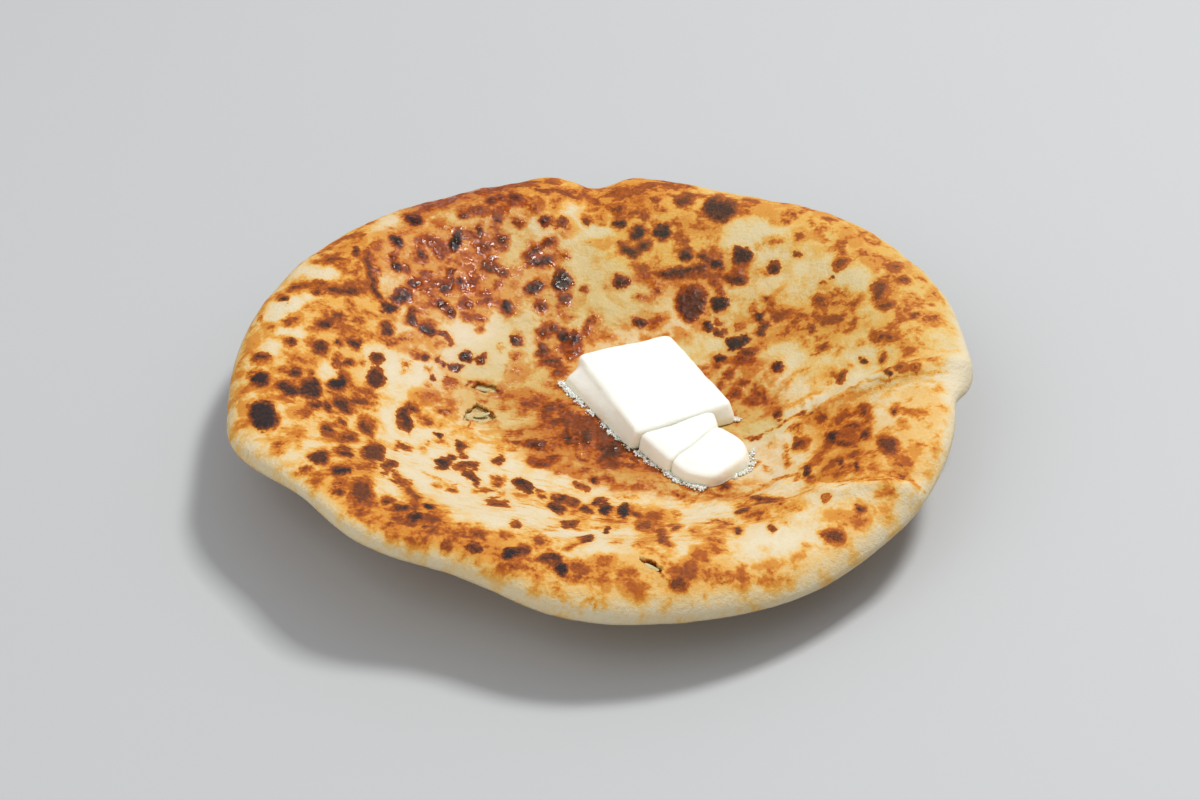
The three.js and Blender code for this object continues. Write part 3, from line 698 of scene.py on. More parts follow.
TOAST_ZONES: tuple[Zone, ...] = tuple(Zone(*row) for row in (
    # browned areas
    (470, 205, 130, 26, .48, 16), (560, 193, 80, 20, .5), (640, 200, 90, 38, .52, 5),
    (700, 224, 70, 28, .52), (790, 212, 110, 22, .5, -8), (862, 248, 70, 36, .5, -35),
    (820, 318, 130, 56, .56), (905, 335, 80, 80, .44), (930, 300, 40, 60, .46, 20),
    (920, 425, 76, 120, .42), (845, 440, 84, 90, .52), (885, 500, 60, 70, .42), (845, 524, 90, 36, .4, 8),
    (790, 572, 120, 34, .42, 12), (700, 562, 76, 76, .48), (610, 572, 90, 44, .44),
    (550, 584, 100, 26, .42, -10), (480, 552, 130, 38, .57, -18), (405, 522, 110, 50, .62, -25),
    (350, 490, 70, 60, .52, -20), (325, 440, 90, 56, .4), (300, 362, 80, 50, .4), (340, 332, 70, 66, .48),
    (340, 396, 90, 30, .48, -8), (368, 262, 66, 60, .54, 30), (420, 250, 90, 56, .46),
    (466, 272, 96, 86, .52), (345, 296, 90, 26, .48), (560, 330, 66, 86, .44),
    (585, 440, 120, 66, .58, -20), (500, 400, 90, 26, .38), (740, 390, 70, 56, .42),
    (640, 250, 70, 50, .52), (700, 268, 80, 50, .5), (540, 252, 60, 36, .46), (650, 520, 60, 40, .44),
    (250, 345, 26, 70, .36, -25), (238, 405, 18, 60, .38), (345, 250, 80, 14, .46, 32),
    (760, 518, 60, 26, .42, 20), (640, 475, 130, 26, .38, -10), (400, 395, 70, 24, .36, -8),
    (603, 440, 96, 34, .78, -28), (560, 425, 60, 30, .66, -20), (640, 470, 60, 16, .56, -20),
    (545, 405, 60, 22, .52, -10), (640, 245, 60, 36, .5), (478, 250, 80, 70, .48),
    (800, 566, 140, 36, .4, 14), (884, 520, 76, 46, .4, 20), (908, 497, 50, 44, .42),
    (470, 262, 64, 60, .54), (545, 196, 60, 16, .52), (640, 200, 90, 26, .52, 5),
    (736, 384, 66, 26, .46, -36), (905, 415, 50, 70, .38), (905, 335, 40, 30, .42),
    # pale areas; the two along the right pleat are partly its pale crest and partly painted light
    (325, 272, 34, 14, .05, -5), (388, 285, 28, 24, .05), (325, 370, 24, 20, 0),
    (288, 306, 56, 14, .06, 25), (290, 332, 34, 10, .1), (268, 349, 26, 12, .1, 25),
    (388, 395, 26, 70, .04, 15), (372, 352, 26, 20, .12), (468, 335, 44, 66, .04),
    (405, 376, 56, 26, .04, -5), (488, 345, 36, 50, .06), (515, 252, 24, 34, .12),
    (540, 232, 36, 14, .12), (598, 266, 70, 46, .2), (600, 231, 22, 9, .06), (575, 205, 20, 22, .16, -40),
    (750, 235, 54, 30, .08), (792, 280, 66, 46, .18), (735, 305, 44, 40, .2), (730, 345, 40, 30, .18),
    (792, 362, 56, 46, .18), (868, 354, 46, 38, .15), (885, 412, 24, 50, .12), (852, 494, 60, 28, .06),
    (780, 536, 100, 46, .06, 5), (682, 540, 36, 34, .1), (602, 549, 60, 18, .06, 15),
    (440, 470, 140, 40, .08, -10), (420, 437, 60, 14, .08), (484, 510, 120, 26, .12, -10),
    (778, 450, 60, 60, .14, 20), (650, 503, 120, 16, .12, -8), (700, 516, 60, 14, .08),
    (560, 483, 90, 14, .14, -8), (388, 487, 40, 22, .1, -40), (305, 452, 40, 30, .14, 30),
    (575, 255, 30, 30, .14), (616, 300, 70, 30, .2), (700, 350, 30, 22, .2), (855, 275, 50, 24, .14),
    (530, 330, 26, 60, .16), (575, 315, 16, 50, .1), (390, 222, 40, 10, .12, 25), (445, 218, 50, 14, .18),
    (520, 415, 60, 20, .26), (600, 532, 90, 8, .06), (905, 488, 20, 12, .14, 20), (500, 470, 40, 12, .08),
    # the pale zones at (893, 380) and (818, 401) lie along the right pleat: partly its own pale crest,
    # partly painted light that brightens its near slope, which lies in shade
    (250, 446, 30, 30, .2), (940, 340, 20, 60, .2, 5), (870, 300, 22, 40, .2), (893, 380, 120, 15, 0, 5),
    (818, 401, 56, 9, .04, 24), (952, 380, 20, 40, .04),
))

WET_ZONES: tuple[Zone, ...] = tuple(Zone(*row) for row in (
    (470, 255, 130, 100, 1), (455, 330, 110, 80, .5), (560, 320, 80, 120, 1),
    (590, 432, 140, 76, .9, -20), (738, 392, 74, 66, 1), (500, 385, 110, 60, .8),
    (650, 478, 130, 26, .9, -10), (640, 310, 140, 60, .75), (750, 460, 60, 50, .6),
    (420, 250, 80, 60, .5), (740, 300, 90, 110, .45), (850, 430, 90, 70, .35), (840, 300, 150, 110, .28),
))

OIL_ZONES: tuple[Zone, ...] = tuple(Zone(*row) for row in (
    (744, 396, 70, 36, .75, -30), (744, 424, 54, 24, 1), (600, 296, 96, 50, .9), (515, 390, 84, 50, .8),
    (660, 478, 130, 20, .7, -10), (530, 340, 50, 80, .6), (700, 352, 50, 26, .6),
    (580, 425, 110, 60, .6, -20), (500, 365, 60, 40, .6), (475, 225, 50, 30, .6), (505, 250, 50, 50, .65),
    (870, 355, 50, 40, .4), (790, 280, 90, 60, .35), (740, 320, 70, 60, .65), (525, 432, 50, 16, .7),
    (690, 205, 50, 20, .3), (620, 265, 110, 60, .75), (850, 290, 190, 130, .6), (720, 250, 150, 90, .5),
))

FLAKY_ZONES: tuple[Zone, ...] = tuple(Zone(*row) for row in (
    (520, 500, 190, 56, 1, -8), (430, 468, 110, 60, .8, -15), (700, 505, 110, 34, .8),
    (500, 430, 120, 40, .6), (600, 455, 120, 40, .6, -12), (790, 500, 60, 30, .4, 10),
))


def seen_along(x: Array, y: Array, at: Point, turn: float) -> tuple[Array, Array]:
    """Places of a picture, measured along and across a line through a point.

    Args:
        x: places across.
        y: places down, as in a picture.
        at: the point.
        turn: the line's turn in degrees against the clock.

    Returns:
        How far along the line and how far across it they lie.
    """
    c, s = math.cos(math.radians(turn)), math.sin(math.radians(turn))
    right, up = x - at[0], at[1] - y
    return right * c + up * s, -right * s + up * c


def ellipse_reach(x: Array, y: Array, at: Point, half: Point, turn: float) -> Array:
    """How deep places lie inside an ellipse, in the units of its sizes, and below 0 outside it.

    Args:
        x: places across.
        y: places down, as in a picture.
        at: the ellipse's middle.
        half: half its length and half its width.
        turn: its turn in degrees against the clock.

    Returns:
        The depth inside its edge.
    """
    along, across = seen_along(x, y, at, turn)
    reach = np.hypot(along / half[0], across / half[1])
    steep = np.hypot(along / half[0] ** 2, across / half[1] ** 2)
    inward = reach * (1.0 - reach) / np.maximum(steep, SMALL)
    return np.where(reach > SMALL, inward, min(half))


class Scatter(NamedTuple):
    """Marks spread at random: how many, their sizes in millimetres and their depths of colour."""

    count: int
    sizes: Span
    depths: Span


class Heat(NamedTuple):
    """What the griddle and the butter have done to places on the bread."""

    toast: Array
    scorch_edge: Array
    scorch_depth: Array
    char_edge: Array
    char_depth: Array
    wet: Array
    oil: Array
    flaky: Array
    crease: Array


@dataclass(frozen=True)
class Griddling:
    """The marks of the griddle on both skins, read as fields over the bread."""

    picture: Picture = field(default_factory=Picture)
    plain_toast: float = 0.27
    smallest: float = 1.7
    plain_share: float = 0.12
    near_rim_toast: float = 0.19
    far_rim_toast: float = 0.31
    far_rim_span: Span = (-60.0, 70.0)
    far_rim_skew: float = 0.3
    right_rim_pale: float = 0.16
    right_rim_span: Span = (108.0, 124.0)
    rim_span: Span = (0.952, 1.0)
    far_reach: float = -9.0
    mark_margin: float = 8.0
    zone_edge: float = 1.5
    small_zone_weight: float = 30.0
    crease_width: float = 1.3
    streak_steps: int = 30
    streak_taper: float = 6.0
    streak_end: float = 0.35
    streak_halo: float = 2.6
    plain_fold: float = 6.0
    warp_size: float = 7.0
    warp_reach: float = 1.5
    warp_octaves: int = 3
    warp_seeds: tuple[float, float] = (17.3, 41.9)
    under_reach: float = 120.0
    under_toast: float = 0.30
    under_edge_span: Span = (0.91, 0.97)
    under_edge_off: float = 7.0
    under_seed: int = 23
    under_blisters: Scatter = Scatter(150, (2.0, 12.0), (0.74, 0.98))
    under_scorches: Scatter = Scatter(120, (3.0, 20.0), (0.50, 0.72))
    under_zones: Scatter = Scatter(34, (26.0, 70.0), (0.04, 0.52))
    under_small_bias: float = 2.2
    under_slimness: Span = (0.5, 0.95)

    def rim_toast(self, points: Array) -> Array:
        """The rim's toast, browner on the far side.

        Args:
            points: places in millimetres, one row each.

        Returns:
            Its level at each place.
        """
        far = smoothstep(*self.far_rim_span, points[:, 1] - self.far_rim_skew * points[:, 0])
        pale = self.right_rim_pale * smoothstep(*self.right_rim_span, points[:, 0])
        return self.near_rim_toast + (self.far_rim_toast - self.near_rim_toast) * far - pale

    def with_rim(self, toast: Array, points: Array, rim: Array) -> Array:
        """The toast of places, with the rim's own level towards the edge."""
        return toast * (1 - rim) + self.rim_toast(points) * rim

    def warped(self, points: Array, x: Array, y: Array, scale: float) -> tuple[Array, Array]:
        """Places pushed about by noise, so that the marks' outlines wander.

        Args:
            points: the places in millimetres, one row each.
            x: the same places across, in pixels.
            y: the same places down, in pixels.
            scale: millimetres for each pixel.

        Returns:
            The pixels across and down after the push.
        """
        push = self.warp_reach / scale
        rule = (points, self.warp_size, self.warp_octaves)
        right, down = (spun_noise(*rule, seed) for seed in self.warp_seeds)
        return x + push * right, y + push * down

    def deepest(self, x: Array, y: Array, marks: Sequence[Mark], scale: float) -> tuple[Array, Array]:
        """The reach and depth of the marks that places lie in, or are nearest to.

        Args:
            x: places across, in pixels.
            y: places down, in pixels.
            marks: the marks.
            scale: millimetres for each pixel.

        Returns:
            How deep each place lies inside a mark in millimetres, and that mark's depth of colour.
        """
        edge = np.full(x.shape, self.far_reach)
        depth = np.zeros(x.shape)
        for mark in marks:
            half = (max(mark.long, self.smallest) / 2 / scale, max(mark.wide, self.smallest) / 2 / scale)
            margin = half[0] + half[1] + self.mark_margin / scale
            near = (np.abs(x - mark.x) < margin) & (np.abs(y - mark.y) < margin)
            if not near.any():
                continue
            reach = ellipse_reach(x[near], y[near], (mark.x, mark.y), half, mark.turn) * scale
            closer = reach > edge[near]
            edge[near] = np.where(closer, reach, edge[near])
            depth[near] = np.where(closer, mark.depth, depth[near])
        return edge, depth

    def blend(self, x: Array, y: Array, zones: Sequence[Zone], plain: float) -> Array:
        """The mean level of soft zones over places, with a plain level between them.

        Args:
            x: places across, in pixels.
            y: places down, in pixels.
            zones: the zones.
            plain: the level where no zone reaches.

        Returns:
            The level at each place.
        """
        weight = np.full(x.shape, self.plain_share)
        total = np.full(x.shape, self.plain_share * plain)
        for zone in zones:
            along, across = seen_along(x, y, (zone.x, zone.y), zone.turn)
            away = (along / (zone.long / 2)) ** 2 + (across / (zone.wide / 2)) ** 2
            extra = self.small_zone_weight / math.sqrt(zone.long * zone.wide)
            share = np.exp(-(away**self.zone_edge)) * (1.0 + extra)
            weight += share
            total += share * zone.level
        return total / weight

    def streaks(self, x: Array, y: Array) -> tuple[Array, Array, Array]:
        """The thin streaks over places.

        Args:
            x: places across, in pixels.
            y: places down, in pixels.

        Returns:
            How deep each place lies inside a streak in millimetres, that streak's depth of colour, and the
            streaks' relief in millimetres.
        """
        edge = np.full(x.shape, self.far_reach)
        depth = np.zeros(x.shape)
        relief = np.zeros(x.shape)
        for streak in STREAKS:
            away, along = distance_to_path(x, y, catmull_rom(streak.line, self.streak_steps))
            away = away * self.picture.mm_per_pixel
            fade = np.minimum(1.0, self.streak_taper * np.minimum(along, 1.0 - along) + self.streak_end)
            reach = streak.width / 2 * fade - away
            reach = np.where(reach < 0, self.streak_halo * reach, reach)
            if streak.width == 0:
                reach = reach - self.plain_fold
            closer = reach > edge
            edge = np.where(closer, reach, edge)
            depth = np.where(closer, streak.depth, depth)
            relief += streak.up * fade * bell(away, self.crease_width)
        return edge, depth, relief

    def top(self, points: Array, share: Array) -> Heat:
        """The fields over the top skin.

        Args:
            points: places in millimetres, one row each.
            share: their shares of the radius.

        Returns:
            The fields at each place.
        """
        scale = self.picture.mm_per_pixel
        x, y = self.warped(points, *self.picture.pixels(points), scale)
        char_edge, char_depth = self.deepest(x, y, BLISTERS, scale)
        scorch_edge, scorch_depth = self.deepest(x, y, SCORCHES, scale)
        line_edge, line_depth, crease = self.streaks(x, y)
        closer = line_edge > scorch_edge
        scorch_edge = np.where(closer, line_edge, scorch_edge)
        scorch_depth = np.where(closer, line_depth, scorch_depth)
        rim = smoothstep(*self.rim_span, share)
        toast = self.with_rim(self.blend(x, y, TOAST_ZONES, self.plain_toast), points, rim)
        wet, oil, flaky = (
            self.blend(x, y, zones, 0.0) * (1 - rim) for zones in (WET_ZONES, OIL_ZONES, FLAKY_ZONES)
        )
        return Heat(toast, scorch_edge, scorch_depth, char_edge, char_depth, wet, oil, flaky, crease)

    def under(self, points: Array, share: Array) -> Heat:
        """The fields over the underside, from marks drawn at random in plan.

        Args:
            points: places in millimetres, one row each.
            share: their shares of the radius.

        Returns:
            The fields at each place.
        """
        draw = np.random.default_rng(self.under_seed)

        def scattered(kind: Scatter) -> list[Mark]:
            """Marks spread evenly over the underside.

            Args:
                kind: how many, how large and how dark.

            Returns:
                The marks, in millimetres in plan.
            """
            marks = []
            for _ in range(kind.count):
                reach, bearing = self.under_reach * math.sqrt(draw.random()), math.tau * draw.random()
                long = drawn(draw, kind.sizes, self.under_small_bias)
                wide = long * drawn(draw, self.under_slimness)
                depth = drawn(draw, kind.depths)
                place = reach * math.cos(bearing), reach * math.sin(bearing)
                marks.append(Mark(*place, long, wide, depth, 180.0 * draw.random()))
            return marks

        x, y = self.warped(points, points[:, 0], points[:, 1], 1.0)
        char_edge, char_depth = self.deepest(x, y, scattered(self.under_blisters), 1.0)
        scorch_edge, scorch_depth = self.deepest(x, y, scattered(self.under_scorches), 1.0)
        zones = [Zone(*mark) for mark in scattered(self.under_zones)]
        rim = smoothstep(*self.rim_span, share)
        toast = self.with_rim(self.blend(x, y, zones, self.under_toast), points, rim)
        off = self.under_edge_off * smoothstep(*self.under_edge_span, share)
        dry = [np.zeros(x.shape)] * 4
        return Heat(toast, scorch_edge - off, scorch_depth, char_edge - off, char_depth, *dry)


# Meshes


def object_of(name: str, bm: bmesh.types.BMesh) -> bpy.types.Object:
    """A linked object of a finished bmesh in metres, which is freed.

    Args:
        name: the piece's name.
        bm: its mesh.

    Returns:
        The object, smooth-shaded, at the origin.
    """
    mesh = bpy.data.meshes.new(name)
    bm.to_mesh(mesh)
    bm.free()
    mesh.shade_smooth()
    piece = bpy.data.objects.new(name, mesh)
    bpy.context.collection.objects.link(piece)
    return piece


def thicken(bm: bmesh.types.BMesh, height: float) -> None:
    """Extrudes a flat sheet straight up.

    Args:
        bm: the sheet.
        height: how far.
    """
    grown = bmesh.ops.extrude_face_region(bm, geom=bm.faces[:])
    upper = [v for v in grown["geom"] if isinstance(v, bmesh.types.BMVert)]
    bmesh.ops.translate(bm, verts=upper, vec=(0, 0, height))


def disc_blank(cells: int, side_rows: int, fine: int = 1) -> bmesh.types.BMesh:
    """A closed square puck from -1 to 1 each way, to be draped.

    Args:
        cells: cells along each side of its underside.
        side_rows: rows of faces round its side.
        fine: how many times finer its top is.

    Returns:
        The puck, with its top at height 1 and its underside at -1.
    """
    bm = bmesh.new()
    bmesh.ops.create_grid(bm, x_segments=cells, y_segments=cells, size=1.0)
    bmesh.ops.translate(bm, verts=bm.verts[:], vec=(0, 0, -1))
    thicken(bm, 2)
    upright = [e for e in bm.edges if abs(e.verts[0].co.z - e.verts[1].co.z) > 1]
    bmesh.ops.subdivide_edges(bm, edges=upright, cuts=side_rows - 1, use_grid_fill=True)
    if fine > 1:
        on_top = [e for e in bm.edges if min(v.co.z for v in e.verts) > NEARLY_ONE]
        bmesh.ops.subdivide_edges(bm, edges=on_top, cuts=fine - 1, use_grid_fill=True)
    bmesh.ops.recalc_face_normals(bm, faces=bm.faces[:])
    return bm


def places_of(bm: bmesh.types.BMesh) -> Array:
    """The places of a bmesh's vertices, one row each."""
    return np.array([v.co[:] for v in bm.verts])


def move_to(bm: bmesh.types.BMesh, places: Array) -> None:
    """Moves a bmesh's vertices to places in millimetres, given in their order."""
    for vertex, place in zip(bm.verts, places * MM):
        vertex.co = place


def disc_polar(x: Array, y: Array) -> tuple[Array, Array]:
    """Squares to discs: the share of the radius and the bearing of places in a square.

    Args:
        x: places across, from -1 to 1.
        y: places up, from -1 to 1.

    Returns:
        The share and the bearing in radians.
    """
    share = np.maximum(np.abs(x), np.abs(y))
    sideways = np.abs(x) >= np.abs(y)
    safe_x = np.where(np.abs(x) < TINY, TINY, x)
    safe_y = np.where(np.abs(y) < TINY, TINY, y)
    across = math.pi / 4 * y / safe_x + np.where(x < 0, math.pi, 0.0)
    upwards = math.pi / 2 - math.pi / 4 * x / safe_y + np.where(y < 0, math.pi, 0.0)
    return share, np.where(share < TINY, 0.0, np.where(sideways, across, upwards))


def cut_away(piece: bpy.types.Object, cutter: bpy.types.Object) -> None:
    """Cuts a closed cutter out of a closed piece, and deletes the cutter.

    Args:
        piece: what is cut.
        cutter: what is cut out of it.
    """
    cut = piece.modifiers.new("cut", "BOOLEAN")
    cut.operation = "DIFFERENCE"
    cut.solver = "MANIFOLD"
    cut.object = cutter
    evaluated = piece.evaluated_get(bpy.context.evaluated_depsgraph_get())
    mesh = bpy.data.meshes.new_from_object(evaluated)
    piece.modifiers.clear()
    old = piece.data
    piece.data = mesh
    mesh.name = old.name
    bpy.data.meshes.remove(old)
    bpy.data.objects.remove(cutter)


def set_attribute(mesh: bpy.types.Mesh, name: str, values: Array) -> None:
    """Gives each vertex of a mesh a number under a name."""
    layer = mesh.attributes.new(name, "FLOAT", "POINT")
    layer.data.foreach_set("value", np.ascontiguousarray(values, np.float32))


def vertices_of(mesh: bpy.types.Mesh) -> Array:
    """A mesh's vertices.

    Args:
        mesh: the mesh.

    Returns:
        Their places in millimetres, one row each.
    """
    places = np.empty(3 * len(mesh.vertices))
    mesh.vertices.foreach_get("co", places)
    return places.reshape(-1, 3) / MM


# Finishes


class Nodes:
    """A short way to lay out a material's nodes."""

    def __init__(self, name: str) -> None:
        """Starts a material with only its output.

        Args:
            name: the material's name.
        """
        self.material = bpy.data.materials.new(name)
        self.material.use_nodes = True
        self.tree = self.material.node_tree
        self.tree.nodes.clear()
        self.output = self.tree.nodes.new("ShaderNodeOutputMaterial")
        self.coordinates = self.tree.nodes.new("ShaderNodeTexCoord").outputs["Object"]

    def put(self, socket: Socket, value: Number | Colour) -> None:
        """Links or sets an input.

        Args:
            socket: the input.
            value: what feeds it.
        """
        if isinstance(value, Socket):
            self.tree.links.new(value, socket)
        elif isinstance(value, tuple) and len(value) == 3 and socket.type == "RGBA":
            socket.default_value = (*value, 1.0)
        else:
            socket.default_value = value

    def math(self, operation: str, first: Number, second: Number = 0.0, third: Number = 0.0) -> Socket:
        """A Math node.

        Args:
            operation: its operation.
            first: a number or a socket.
            second: a number or a socket.
            third: a number or a socket.

        Returns:
            Its output.
        """
        node = self.tree.nodes.new("ShaderNodeMath")
        node.operation = operation
        for socket, value in zip(node.inputs, (first, second, third)):
            self.put(socket, value)
        return node.outputs[0]

    def times(self, value: Number, factor: Number) -> Socket:
        """A number times another."""
        return self.math("MULTIPLY", value, factor)

    def over(self, value: Number, factor: Number, base: Number) -> Socket:
        """A number times a factor, on top of a base."""
        return self.math("MULTIPLY_ADD", value, factor, base)

    def soft_most(self, first: Number, second: Number) -> Socket:
        """The larger of two numbers, blended where they are alike."""
        return self.math("SMOOTH_MAX", first, second, 0.10)

    def between(self, share: Number, first: Number, second: Number) -> Socket:
        """A number between two others, by the share of the second."""
        kept = self.times(first, self.math("SUBTRACT", 1.0, share))
        return self.math("ADD", kept, self.times(second, share))

    def ramp(self, value: Number, low: float, high: float, to_low: float = 0.0,
             to_high: float = 1.0) -> Socket:
        """A smooth Map Range node.

        Args:
            value: the number to map.
            low: where the step starts.
            high: where it ends.
            to_low: its level before the step.
            to_high: its level after it.

        Returns:
            Its output.
        """
        node = self.tree.nodes.new("ShaderNodeMapRange")
        node.interpolation_type = "SMOOTHSTEP"
        for end, number in zip(("From Min", "From Max", "To Min", "To Max"), (low, high, to_low, to_high)):
            node.inputs[end].default_value = number
        self.put(node.inputs["Value"], value)
        return node.outputs[0]

    def attribute(self, name: str) -> Socket:
        """A number that the piece's vertices hold.

        Args:
            name: the attribute's name.

        Returns:
            The number.
        """
        node = self.tree.nodes.new("ShaderNodeAttribute")
        node.attribute_name = name
        return node.outputs["Fac"]

    def noise(self, size: float, detail: float = 3.0, rough: float = 0.55, stretch: Vector | None = None,
              turn: float = 0.0) -> Socket:
        """Noise about 0, mostly from -1 to 1.

        Args:
            size: the size of its lumps in millimetres.
            detail: its finer layers.
            rough: how strong they are.
            stretch: how far the pattern is squeezed each way.
            turn: how far it is turned in degrees.

        Returns:
            The noise.
        """
        coordinates = self.coordinates
        if stretch is not None:
            mapping = self.tree.nodes.new("ShaderNodeMapping")
            mapping.inputs["Scale"].default_value = stretch
            mapping.inputs["Rotation"].default_value = (0, 0, math.radians(turn))
            self.tree.links.new(coordinates, mapping.inputs["Vector"])
            coordinates = mapping.outputs[0]
        node = self.tree.nodes.new("ShaderNodeTexNoise")
        node.inputs["Scale"].default_value = 1.0 / (size * MM)
        node.inputs["Detail"].default_value = detail
        node.inputs["Roughness"].default_value = rough
        self.tree.links.new(coordinates, node.inputs["Vector"])
        return self.over(node.outputs["Fac"], 4.0, -2.0)

    def cells(self, size: float) -> Socket:
        """Distance from the middles of scattered cells.

        Args:
            size: the cells' size in millimetres.

        Returns:
            The distance, from 0 at a middle to about 1.
        """
        node = self.tree.nodes.new("ShaderNodeTexVoronoi")
        node.inputs["Scale"].default_value = 1.0 / (size * MM)
        self.tree.links.new(self.coordinates, node.inputs["Vector"])
        return node.outputs["Distance"]

    def mix(self, share: Number, first: Colour | Socket, second: Colour, blend: str = "MIX") -> Socket:
        """A colour between two others.

        Args:
            share: how much of the second.
            first: a colour or a socket.
            second: a colour.
            blend: how they are blended.

        Returns:
            The colour.
        """
        node = self.tree.nodes.new("ShaderNodeMix")
        node.data_type = "RGBA"
        node.blend_type = blend
        # a Mix node's sockets for its factor and its two colours
        for at, value in ((0, share), (6, first), (7, second)):
            self.put(node.inputs[at], value)
        return node.outputs[2]

    def colours(self, value: Number, stops: Sequence[tuple[float, Colour]]) -> Socket:
        """A colour ramp.

        Args:
            value: where on the ramp.
            stops: its places and colours.

        Returns:
            The colour.
        """
        node = self.tree.nodes.new("ShaderNodeValToRGB")
        elements = node.color_ramp.elements
        while len(elements) < len(stops):
            elements.new(0.5)
        for element, (position, colour) in zip(elements, stops):
            element.position = position
            element.color = (*colour, 1.0)
        self.put(node.inputs["Fac"], value)
        return node.outputs["Color"]

    def surface(self, bump: Socket | None = None, bump_size: float = 0.3,
                **inputs: Number | Colour) -> bpy.types.Material:
        """Ends the material in one shader.

        Args:
            bump: the height that the bump follows.
            bump_size: how high a height of 1 is, in millimetres.
            **inputs: the shader's inputs, with spaces as underscores.

        Returns:
            The finished material.
        """
        shader = self.tree.nodes.new("ShaderNodeBsdfPrincipled")
        for name, value in inputs.items():
            self.put(shader.inputs[name.replace("_", " ")], value)
        if bump is not None:
            node = self.tree.nodes.new("ShaderNodeBump")
            node.inputs["Distance"].default_value = bump_size * MM
            node.inputs["Strength"].default_value = 1.0
            self.put(node.inputs["Height"], bump)
            self.tree.links.new(node.outputs[0], shader.inputs["Normal"])
        self.tree.links.new(shader.outputs[0], self.output.inputs["Surface"])
        return self.material


@dataclass(frozen=True)
class GriddledDough:
    """Wheat dough from the griddle: cream, toasted, scorched and charred, and oiled by the butter."""

    name: str = "griddled_dough"
    toasts: tuple[tuple[float, Colour], ...] = (
        (0.00, (0.72, 0.64, 0.47)),
        (0.14, (0.71, 0.585, 0.365)),
        (0.26, (0.73, 0.49, 0.19)),
        (0.38, (0.71, 0.36, 0.062)),
        (0.50, (0.58, 0.195, 0.016)),
        (0.60, (0.40, 0.092, 0.004)),
        (0.70, (0.235, 0.052, 0.006)),
        (0.82, (0.125, 0.032, 0.008)),
        (0.92, (0.045, 0.015, 0.009)),
        (1.00, (0.016, 0.012, 0.013)),
    )
    oiled: Colour = (0.56, 0.42, 0.11)
    wet_tint: Colour = (0.62, 0.25, 0.04)
    dry_roughness: float = 0.66
    wet_roughness: float = 0.07

    def make(self) -> bpy.types.Material:
        """Lays out the nodes.

        Returns:
            The material.
        """
        n = Nodes(self.name)
        broad = n.noise(15.0, 3.0)
        middle = n.noise(4.5, 4.0, 0.6)
        fine = n.noise(1.3, 3.0, 0.6)
        grain = n.noise(0.5, 2.0)
        flakes = n.noise(2.2, 4.0, 0.6, stretch=Vector((0.16, 1.0, 1.0)), turn=10.0)
        oil, flaky = n.attribute("oil"), n.attribute("flaky")
        wet = n.ramp(n.attribute("wet"), 0.12, 0.62)

        # toast with crisp mottling where it is brown, and thin lines where the skin flakes
        plain = n.attribute("toast")
        blotches = n.over(fine, 0.22, n.noise(7.0, 3.0, 0.5))
        patches = n.ramp(blotches, -0.35, 0.75, -0.11, 0.20)
        toast = n.over(broad, 0.05, plain)
        toast = n.over(patches, n.ramp(plain, 0.06, 0.38, 0.22, 1.0), toast)
        toast = n.over(fine, 0.035, toast)
        toast = n.over(n.ramp(flakes, 0.15, 0.75, 0.0, 0.26), flaky, toast)

        # scorches with torn edges, mottled insides and a halo where the bread is browned
        wander = n.over(fine, 0.65, n.times(middle, 0.95))
        scorch_edge = n.math("ADD", n.attribute("scorch_edge"), wander)
        scorch = n.over(middle, 0.09, n.over(fine, 0.07, n.attribute("scorch_depth")))
        scorch = n.math("ADD", scorch, n.ramp(scorch_edge, -0.2, 2.2, -0.20, 0.02))
        browned = n.ramp(plain, 0.08, 0.36, 0.40, 1.0)
        toast = n.soft_most(toast, n.times(n.ramp(scorch_edge, -3.2, -0.2, 0.0, 0.46), browned))
        inside = n.ramp(scorch_edge, -0.9, 0.5)
        toast = n.between(inside, toast, n.math("MAXIMUM", scorch, toast))

        # blisters: an orange halo, a red-brown ring, then a dark spot
        tremble = n.over(fine, 0.48, n.times(middle, 0.55))
        char_edge = n.math("ADD", n.attribute("char_edge"), tremble)
        uneven = n.times(browned, n.ramp(blotches, -0.9, 0.7, 0.72, 1.06))
        toast = n.soft_most(toast, n.times(n.ramp(char_edge, -3.6, -0.3, 0.0, 0.64), uneven))
        toast = n.soft_most(toast, n.ramp(char_edge, -1.2, -0.2, 0.0, 0.64))
        char = n.over(grain, 0.06, n.over(fine, 0.09, n.attribute("char_depth")))
        char = n.math("ADD", char, n.ramp(char_edge, -0.1, 1.5, -0.15, 0.03))
        spot = n.ramp(char_edge, -0.60, 0.35)
        heat = n.between(spot, toast, char)

        # the colour, golden where pale skin is oiled and deeper where brown skin is wet
        colour = n.colours(heat, self.toasts)
        colour = n.mix(n.times(oil, n.ramp(heat, 0.60, 0.25, 0.06, 0.72)), colour, self.oiled)
        darker = n.times(wet, n.ramp(heat, 0.15, 0.45, 0.12, 0.50))
        colour = n.mix(darker, colour, self.wet_tint, "MULTIPLY")

        # butter shines on the crests of its ripples
        gloss = n.times(wet, n.ramp(heat, 0.22, 0.55, 0.30, 1.0))
        swell = n.noise(3.0, 1.0)
        shine = n.times(gloss, n.ramp(swell, -0.10, 0.55, 0.12, 1.0))
        rough = n.over(shine, self.wet_roughness - self.dry_roughness, self.dry_roughness)
        rough = n.over(spot, -0.06, n.over(grain, 0.05, rough))

        # the skin's fine relief, drowned by the ripples where butter lies on it
        height = n.over(grain, 0.16, n.over(middle, 0.45, n.times(fine, 0.40)))
        height = n.over(spot, n.times(grain, 0.30), height)
        height = n.over(flaky, n.times(flakes, 0.5), height)
        height = n.times(height, n.over(gloss, -0.86, 1.0))
        height = n.over(gloss, n.over(middle, 0.3, n.times(swell, 1.15)), height)
        return n.surface(bump=height, bump_size=0.24, Base_Color=colour, Roughness=rough,
                         Specular_IOR_Level=0.23)


